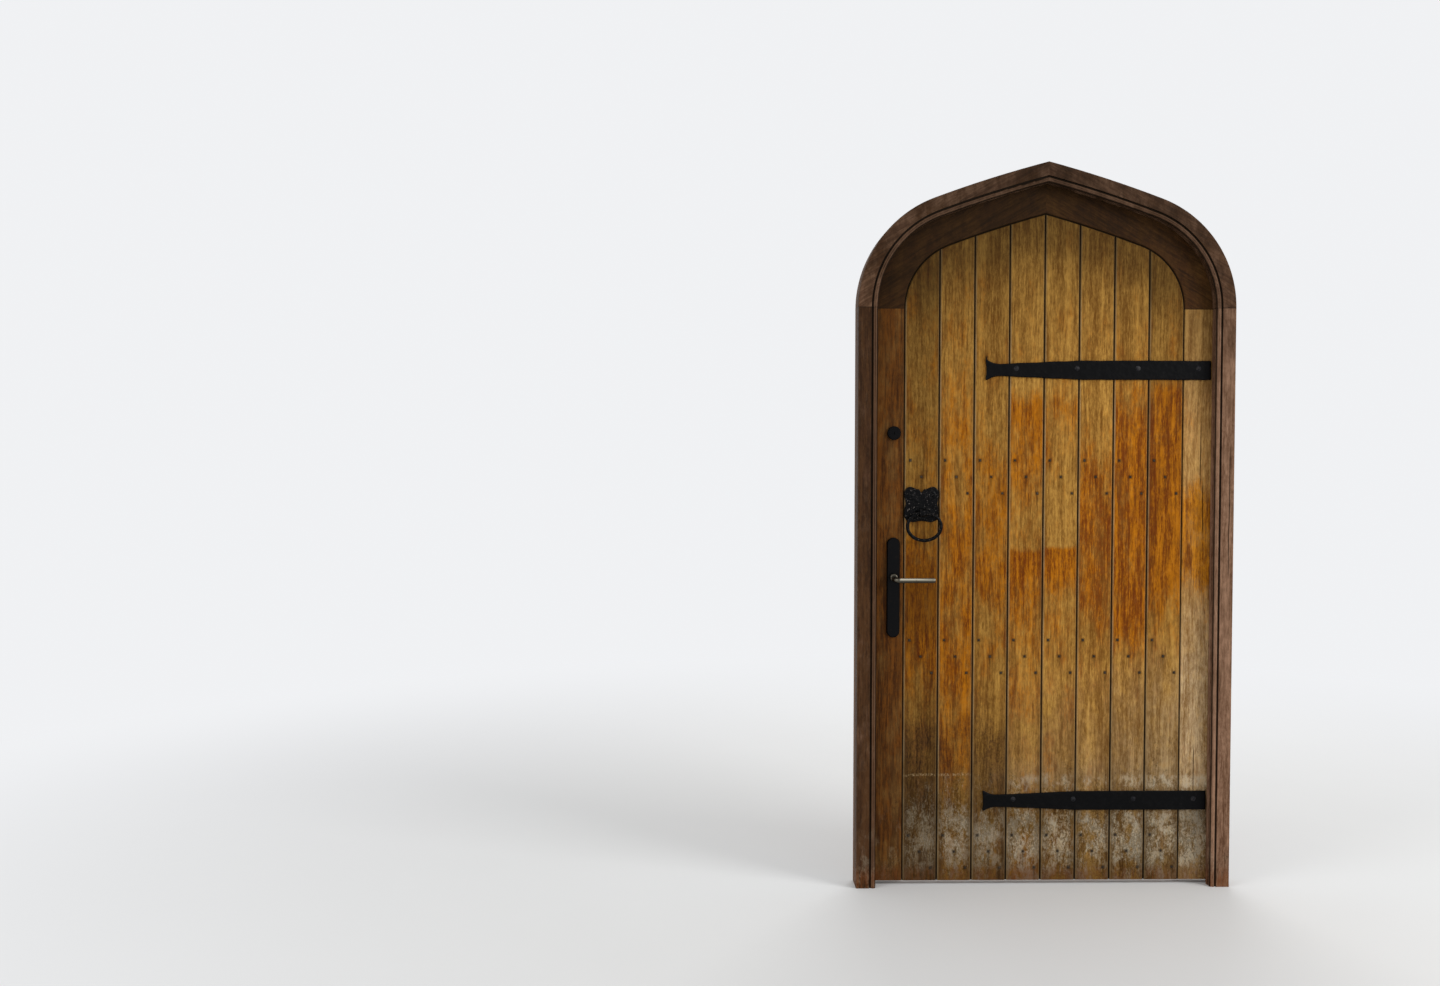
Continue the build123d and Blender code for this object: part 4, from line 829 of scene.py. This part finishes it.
@dataclass
class DoorFrame:
    """Two jambs and two curved heads of one moulded section, with their dowels."""

    nodes: Dict[str, bpy.types.Object]

    def dress(self) -> None:
        """Gives each piece its own weathered wood."""
        grey = dict(
            bare_dark=paint(84, 56, 38),
            bare_light=paint(152, 118, 94),
            varnish_dark=paint(44, 26, 12),
            varnish_light=paint(80, 52, 28),
            fading=((0.0, 0.1), (2.1, 0.0)),
            wear=((0.0, 0.6), (0.1, 0.35), (0.3, 0.1), (0.5, 0.0)),
            washing=0.3,
            front=-0.0595,
            depth=0.05,
            inner_dark=paint(76, 48, 26),
            inner_light=paint(122, 84, 50),
        )
        # The heavy dark varnish and the shade graph of the curved heads are partly painted shade
        # under the arch.
        head = dict(
            varnish=((0.0, 0.6), (2.1, 0.6)),
            shade=((1.68, 0.3), (1.9, 0.5), (2.1, 0.6)),
            joints=(SPRINGING,),
            **grey,
        )
        # Painted shade: the left jamb is kept far darker than the right, by thick dark varnish and
        # its shade graph.
        left = Timber(
            "left_jamb_timber",
            seed=1.7,
            varnish=((0.0, 0.8), (2.1, 1.0)),
            shade=((0.0, 0.1), (1.0, 0.15), (2.1, 0.3)),
            joints=(SPRINGING,),
            **grey,
        )
        right = Timber(
            "right_jamb_timber",
            seed=2.9,
            varnish=((0.0, 0.1), (1.2, 0.15), (1.7, 0.4), (2.1, 0.6)),
            shade=((0.0, 0.0), (1.4, 0.05), (1.7, 0.25), (2.1, 0.5)),
            joints=(SPRINGING,),
            cracks=((0.532, 0.9, 1.3),),
            **grey,
        )
        looks = {
            left: "frame_jamb_left",
            right: "frame_jamb_right",
            Timber("left_head_timber", Grain.RAKED_LEFT, 4.1, **head): "frame_head_left",
            Timber("right_head_timber", Grain.RAKED_RIGHT, 5.3, **head): "frame_head_right",
            Timber("dowel_timber", seed=8.0, shade=FLAT): "frame_dowels",
        }
        dressed_all(self.nodes, looks)


@dataclass(frozen=True)
class Board:
    """How one board has weathered: its varnish by height, and how strong the rest is."""

    varnish: Stops
    fading: float
    soot: float
    washing: float
    tone: float
    below_lever: float = 0.0
    scuff: Optional[float] = None


BOARDS = (
    Board(
        ((0.0, 0.3), (0.4, 0.35), (0.6, 0.5), (0.75, 0.85), (0.9, 0.8), (1.1, 0.4), (2.1, 0.25)),
        fading=0.05, soot=0.55, washing=0.34, tone=0.64, below_lever=0.34, scuff=0.323,
    ),
    Board(
        ((0.0, 0.25), (0.25, 0.3), (0.36, 0.75), (0.5, 0.6), (1.0, 0.65), (1.3, 0.5), (1.55, 0.3),
         (2.1, 0.15)),
        fading=0.15, soot=0.42, washing=0.5, tone=0.98, below_lever=0.04, scuff=0.323,
    ),
    Board(
        ((0.0, 0.15), (0.4, 0.25), (0.75, 0.4), (0.92, 0.7), (1.1, 0.6), (1.3, 0.35), (1.5, 0.3),
         (2.1, 0.15)),
        fading=0.2, soot=0.5, washing=0.52, tone=0.92,
    ),
    Board(
        ((0.0, 0.4), (0.3, 0.3), (0.85, 0.6), (0.97, 0.95), (0.99, 0.4), (1.15, 0.45), (1.3, 0.7),
         (1.4, 0.75), (1.47, 0.2), (2.1, 0.1)),
        fading=0.35, soot=0.28, washing=0.56, tone=1.04,
    ),
    Board(
        ((0.0, 0.3), (0.5, 0.3), (0.82, 0.4), (0.92, 0.9), (0.985, 0.9), (1.0, 0.2), (1.18, 0.3),
         (1.4, 0.55), (1.46, 0.2), (2.1, 0.1)),
        fading=0.4, soot=0.24, washing=0.6, tone=1.08,
    ),
    Board(
        ((0.0, 0.1), (0.6, 0.3), (0.85, 0.6), (1.0, 0.75), (1.25, 0.6), (1.4, 0.2), (1.6, 0.2),
         (2.1, 0.15)),
        fading=0.42, soot=0.2, washing=0.62, tone=1.16,
    ),
    Board(
        ((0.0, 0.15), (0.6, 0.2), (0.78, 0.8), (1.0, 0.95), (1.25, 0.8), (1.45, 0.6), (1.5, 0.3),
         (2.1, 0.15)),
        fading=0.55, soot=0.24, washing=0.68, tone=1.12,
    ),
    Board(
        ((0.0, 0.2), (0.6, 0.15), (0.8, 0.6), (1.0, 1.0), (1.2, 0.95), (1.44, 0.85), (1.5, 0.3),
         (2.1, 0.2)),
        fading=0.7, soot=0.12, washing=0.64, tone=0.98,
    ),
)


@dataclass
class Boarding:
    """Eight boards with stiles, curved heads, ledges and the nails that hold them."""

    nodes: Dict[str, bpy.types.Object]
    pitch: float = 0.102
    rows: Tuple[float, ...] = (0.097, 0.673, 1.199)
    nail_radius: float = 0.0036
    nail_rise: float = 0.0014
    shank: float = 0.012
    shank_radius: float = 0.0015
    knocker: Tuple[float, float, float, float] = (-0.4106, -0.3034, 1.064, 1.1736)
    heads: Tuple[float, ...] = (1.815, 1.880, 1.914, 1.946, 1.946, 1.914, 1.880, 1.815)

    def dress(self) -> None:
        """Gives each board and frame member its own wood."""
        looks = {}
        for number, (board, head) in enumerate(zip(BOARDS, self.heads)):
            fading, soot = board.fading, board.soot
            timber = Timber(
                f"board_{number + 1}_timber",
                seed=11.0 + number * 2.3,
                varnish=board.varnish,
                fading=((0.0, fading * 0.5), (0.26, fading * 0.9), (0.32, fading * 1.2 + 0.12))
                + ((0.38, fading), (0.5, fading * 0.8), (0.9, 0.0)),
                soot=((0.0, soot * 0.8), (0.2, soot * 0.8), (0.3, soot), (0.42, soot), (0.7, 0.0)),
                shade=self._shade_under(head, board.below_lever),
                scuff=board.scuff,
                washing=board.washing,
                middle=self._middle(number),
                stains=self.rows,
                **{name: toned(getattr(Timber, name), board.tone) for name in TONED},
            )
            looks[timber] = f"board_{number + 1}"
        # Its dark browns and thick dark varnish are partly painted shade along the door's left
        # side.
        left = Timber(
            "latch_stile_timber",
            seed=31.0,
            varnish=((0.0, 0.6), (0.5, 0.75), (2.1, 0.75)),
            washing=0.3,
            bare_dark=paint(96, 64, 30),
            bare_light=paint(150, 112, 60),
            varnish_dark=paint(56, 24, 4),
            varnish_light=paint(118, 68, 18),
            fading=FLAT,
            shade=((0.0, 0.3), (0.5, 0.2), (1.1, 0.1), (1.7, 0.4), (2.1, 0.6)),
            wear=((0.0, 0.5), (0.2, 0.3), (0.4, 0.05), (0.5, 0.0)),
            joints=(SPRINGING,),
        )
        looks[left] = "latch_stile"
        right = Timber(
            "hinge_stile_timber",
            seed=37.0,
            varnish=((0.0, 0.15), (0.6, 0.1), (0.8, 0.2), (0.9, 0.7), (1.1, 0.75), (1.22, 0.2))
            + ((1.7, 0.3), (2.1, 0.4)),
            bare_dark=paint(128, 88, 42),
            bare_light=paint(206, 160, 92),
            varnish_light=paint(196, 124, 18),
            faded_and_highlight=paint(216, 188, 146),
            fading=((0.0, 0.3), (0.3, 0.85), (0.6, 0.8), (0.95, 0.25), (1.5, 0.25), (1.7, 0.0)),
            shade=((0.0, 0.4), (0.06, 0.26), (0.13, 0.2), (0.19, 0.5), (0.24, 0.5), (0.27, 0.02))
            + ((1.32, 0.0), (1.45, 0.26), (1.56, 0.34), (1.7, 0.5)),
            cracks=((0.462, 1.16, 1.38), (0.470, 1.02, 1.2), (0.452, 0.2, 0.42)),
            joints=(SPRINGING,),
        )
        looks[right] = "hinge_stile"
        # The dark browns of the curved heads are partly painted shade under the arch; the left head
        # gets more painted shade than the right.
        head = dict(
            bare_dark=paint(48, 29, 12),
            bare_light=paint(88, 60, 30),
            varnish_dark=paint(34, 18, 5),
            varnish_light=paint(68, 40, 15),
            varnish=((1.6, 0.6), (2.1, 0.5)),
            joints=(SPRINGING,),
        )
        for side, grain, seed, shade in (
            ("left", Grain.RAKED_LEFT, 41.0, ((1.6, 0.3), (1.8, 0.5), (2.1, 0.65))),
            ("right", Grain.RAKED_RIGHT, 43.0, ((1.6, 0.0), (1.76, 0.1), (2.1, 0.6))),
        ):
            look = Timber(f"{side}_leaf_head", grain, seed, shade=shade, **head)
            looks[look] = f"head_{side}"
        for number, name in enumerate(("bottom_rail", "lower_ledge", "upper_ledge")):
            seed = 51.0 + number * 3.1
            looks[Timber(f"{name}_timber", Grain.LEVEL, seed, shade=FLAT, depth=0.0)] = name
        dressed_all(self.nodes, looks)

    def _shade_under(self, head: float, below_lever: float) -> Stops:
        """Gives how dark a board is painted by height: painted shade at its foot, under the lower
        strap and under the curved head, and a darker band below the lever.

        Args:
            head: Height of the curved head above the board, which shades it.
            below_lever: How much darker it is made just below the lever.

        Returns:
            The darkness by height.
        """
        # Painted shade at the foot and just under the lower strap, where it also stands for dirt.
        foot = ((0.0, 0.45), (0.06, 0.33), (0.13, 0.02), (0.19, 0.24), (0.24, 0.26), (0.27, 0.14))
        foot = foot + ((0.45, 0.14), (0.62, 0.0))
        lever_band = ((0.68, 0.0), (0.78, below_lever), (0.88, below_lever * 0.9), (1.0, 0.0))
        # Painted shade under the curved head.
        top = ((head - 0.5, 0.0), (head - 0.3, 0.13), (head - 0.16, 0.34), (head - 0.07, 0.62))
        return foot + lever_band + top + ((head, 0.7),)

    def _middle(self, number: int) -> float:
        """Gives the place of a board's middle."""
        return (number - (len(BOARDS) - 1) / 2) * self.pitch

    def nail_places(self) -> List[Place]:
        """Sets out the nails in slanting rows of three on each board, but none under the knocker.

        Returns:
            The places of their heads.
        """
        left, right, low, high = self.knocker
        low, high = low - self.nail_radius, high + self.nail_radius
        places = []
        for row in self.rows:
            for number in range(len(BOARDS)):
                for turn in (-1, 0, 1):
                    x, z = self._middle(number) + turn * NAIL_STEP[0], row - turn * NAIL_STEP[1]
                    if not (left < x < right and low < z < high):
                        places.append((x, LEAF_FACE, z))
        return places

    def nail(self, heads: ForgedHeads, iron: bpy.types.Material) -> None:
        """Drives the nails.

        Args:
            heads: The tree that makes forged heads.
            iron: Their material.
        """
        values = {"Radius": self.nail_radius, "Rise": self.nail_rise, "Shank": self.shank}
        values["Shank Radius"] = self.shank_radius
        values.update(Uneven=0.0005, Seed=5, Finish=iron)
        nails = heads.grown("forged_nails", self.nail_places(), values)
        seated(nails, "leaf", "nail_iron", "board_nails")


@dataclass
class Straps:
    """Two forged straps on the boards."""

    nodes: Dict[str, bpy.types.Object]
    voxel: float = 0.0017
    flat_back: float = 0.0015
    dent: float = 0.00035
    nick: float = 0.00012
    waver: float = 0.0009

    def _hammer(self, place: Vector, normal: Vector) -> float:
        """Gives the dents of the forged face and the waver of its edges.

        Args:
            place: A point of the strap.
            normal: The way that it faces.

        Returns:
            How far it moves out.
        """
        if place.y > LEAF_FACE - self.flat_back:
            return 0.0
        dents = noise.noise(place * 70.0) * self.dent + noise.noise(place * 230.0) * self.nick
        waver = noise.noise(Vector((place.x * 22.0, 3.0, place.z * 6.0))) * self.waver
        return dents + waver * abs(normal.z)

    def forge(self, iron: bpy.types.Material) -> None:
        """Makes both straps with hammered faces.

        Args:
            iron: Their material.
        """
        for name in ("strap_lower", "strap_upper"):
            hammered(self.nodes, name, iron, self.voxel, self._hammer)


@dataclass
class Knocker:
    """Ring knocker on a lobed plate."""

    nodes: Dict[str, bpy.types.Object]
    middle: float = -0.357
    foot: float = 1.067
    waist: float = 0.043
    swell: float = 0.0045
    scroll: Tuple[float, float] = (0.029, 0.078)
    leaf: float = 0.05
    voxel: float = 0.0011
    centre: Place = (-0.351, -0.0425, 1.055)
    ring_width: float = 0.098
    ring_height: float = 0.081
    bar_radius: float = 0.0049
    front: float = -0.0275

    def _relief(self, place: Vector, normal: Vector) -> float:
        """Gives the leaf-like lobes and hammer marks of the plate's face.

        Args:
            place: A point of the plate.
            normal: The way that it faces.

        Returns:
            How far it moves out.
        """
        across, up = abs(place.x - self.middle), place.z - self.foot
        if abs(normal.x) > 0.5 and across > 0.02:
            return self.swell * max(0.0, 1.0 - abs(up - self.waist) / 0.024)
        if place.y > self.front + 0.002 or normal.y > -0.3:
            return 0.0
        scroll = math.hypot(across - self.scroll[0], up - self.scroll[1])
        curl = math.cos(scroll * 620.0) * 0.0011 * max(0.0, 1.0 - scroll / 0.026)
        sweep = math.atan2(up - self.leaf, across + 0.004)
        reach = math.hypot(across, up - self.leaf)
        leaf = math.cos(sweep * 9.0) * 0.0008 * min(1.0, reach / 0.02)
        leaf = leaf * max(0.0, 1.0 - abs(reach - 0.034) / 0.03)
        dents = noise.noise(place * 130.0) * 0.0009 + noise.noise(place * 330.0) * 0.0004
        return curl + leaf + dents

    def forge(self, rings: ForgedRing, iron: bpy.types.Material) -> None:
        """Makes the plate and its ring.

        Args:
            rings: The tree that makes forged rings.
            iron: Their material.
        """
        hammered(self.nodes, "knocker_plate", iron, self.voxel, self._relief, 3)
        values = {"Width": self.ring_width, "Height": self.ring_height, "Bar": self.bar_radius}
        values.update(Uneven=0.0006, Seed=3, Finish=iron)
        ring = rings.grown("forged_ring", [(0.0, 0.0, 0.0)], values)
        ring.data.transform(Matrix.Translation(self.centre))
        seated(ring, "knocker", "black_iron", "knocker_ring")


@dataclass
class Ironmongery:
    """Hinges, plates, levers, latches and screws that keep their CAD shape."""

    nodes: Dict[str, bpy.types.Object]

    def dress(self, iron: bpy.types.Material) -> None:
        """Gives every metal piece its finish.

        Args:
            iron: The black iron of the nuts and the knocker's screws.
        """
        levels = ("lower", "middle", "upper")
        hinges = " ".join(f"hinge_frame_leaf_{at} hinge_door_leaf_{at}" for at in levels)
        looks = {
            Metal("dull_steel", paint(150, 144, 136), paint(84, 72, 62), 0.38): f"{hinges} "
            "hinge_pins frame_screws door_screws plate_screws strike_plate "
            "latch_case latch_forend latch_follower spindle",
            Metal(
                "satin_lever_steel", paint(204, 198, 178), paint(120, 104, 80), 0.3,
                tarnished=0.1, dark_below=0.9025,
            ): "outer_lever inner_lever",
            Metal(
                "black_lacquer", paint(6, 6, 8), paint(18, 14, 11), 0.3, metallic=0.0,
                tarnished=0.3, shine=0.08,
            ): "outer_plate inner_plate cylinder_ring night_cylinder cylinder_plug",
            Metal("dull_brass", paint(176, 140, 72), paint(104, 78, 40), 0.34):
            "latch_bolt night_latch_bolt drive_bar",
            Metal(
                "bronze_enamel", paint(58, 48, 38), paint(38, 30, 24), 0.36, metallic=0.4, coat=0.3
            ): "night_latch_keep night_latch_case night_latch_knob night_latch_snib",
            Metal("spring_wire", paint(130, 130, 132), paint(70, 66, 62), 0.3): "latch_spring",
            # The bolt heads take a lighter copy of the black iron with heavy pale dust; their pale
            # spots are partly painted glints.
            BlackIron(
                "bolt_iron", paint(26, 26, 29), paint(104, 102, 102), dusty=0.6, glint_amount=0.4
            ): "strap_bolts",
        }
        dressed_all(self.nodes, looks)
        dressed(self.nodes, "strap_nuts knocker_screws", iron)


@dataclass
class Studio:
    """Floor, soft lights, pale surroundings and the camera."""

    camera_place: Place = (-1.0186, -4.0891, 1.2876)
    yaw: float = math.radians(1.052)
    pitch: float = math.radians(1.916)
    roll: float = math.radians(0.073)
    lens: float = 35.0
    sensor: float = 36.0
    ambient: float = 0.55
    lit_height: float = 1.1
    nearest: float = 0.05
    floor_reach: float = 30.0

    def light(self) -> None:
        """Sets up the lamps and the world."""
        for name, place, size, power in (
            ("key", (4.6, -3.3, 3.2), 2.8, 210.0),
            ("fill", (-4.4, -2.8, 3.0), 2.6, 70.0),
            ("rear", (0.8, 4.2, 3.4), 3.0, 90.0),
        ):
            lamp = bpy.data.lights.new(name, "AREA")
            lamp.shape, lamp.size, lamp.energy = "SQUARE", size, power
            holder = placed(name, lamp)
            holder.location = place
            aim = Vector((0.0, 0.0, self.lit_height)) - Vector(place)
            holder.rotation_euler = aim.to_track_quat("-Z", "Y").to_euler()
        world = bpy.data.worlds.new("studio")
        bpy.context.scene.world = world
        world.use_nodes = True
        world.node_tree.nodes.clear()
        tree = Tree(world.node_tree)
        strength = self.ambient + tree.looked_at() * (Floor.strength - self.ambient)
        glow = tree.node("ShaderNodeBackground", inputs={"Color": Floor.glow, "Strength": strength})
        tree.node("ShaderNodeOutputWorld", inputs={"Surface": glow}, output=None)

    def floor(self) -> None:
        """Lays the floor."""
        mesh = bpy.data.meshes.new("floor")
        sides = ((-1, -1), (1, -1), (1, 1), (-1, 1))
        corners = [(x * self.floor_reach, y * self.floor_reach, 0) for x, y in sides]
        mesh.from_pydata(corners, [], [(0, 1, 2, 3)])
        mesh.materials.append(Floor().make())
        placed("floor", mesh)

    def camera(self) -> None:
        """Puts the camera where the door is seen from slightly to its left."""
        lens = bpy.data.cameras.new("camera")
        lens.lens, lens.sensor_width, lens.clip_start = self.lens, self.sensor, self.nearest
        camera = placed("camera", lens)
        matrix = Matrix.Translation(self.camera_place)
        level = math.pi / 2
        for angle, axis in ((-self.yaw, "Z"), (level - self.pitch, "X"), (self.roll, "Z")):
            matrix = matrix @ Matrix.Rotation(angle, 4, axis)
        camera.matrix_world = matrix
        bpy.context.scene.camera = camera
        bpy.context.scene.view_settings.view_transform = "Standard"


def main() -> None:
    """Dresses the whole door."""
    logging.basicConfig(level=logging.INFO, format="%(name)s: %(message)s")
    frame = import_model()
    nodes = frame["nodes"]

    studio = Studio()
    studio.floor()
    studio.light()
    studio.camera()

    iron = BlackIron("black_iron").make()
    rusty, dust = paint(50, 42, 34), paint(112, 100, 84)
    nail_iron = BlackIron("nail_iron", rusty, dust, rough=0.5, dusty=0.6).make()
    # The knocker's iron has strong painted glints.
    rough_iron = BlackIron("rough_iron", dents=0.0012, rough=0.34, glint_amount=0.9).make()
    DoorFrame(nodes).dress()
    boarding = Boarding(nodes)
    boarding.dress()
    boarding.nail(ForgedHeads(), nail_iron)
    Straps(nodes).forge(iron)
    Knocker(nodes).forge(ForgedRing(), rough_iron)
    Ironmongery(nodes).dress(iron)
    log.info("dressed %d CAD pieces", len(nodes))


if __name__ == "__main__":
    main()
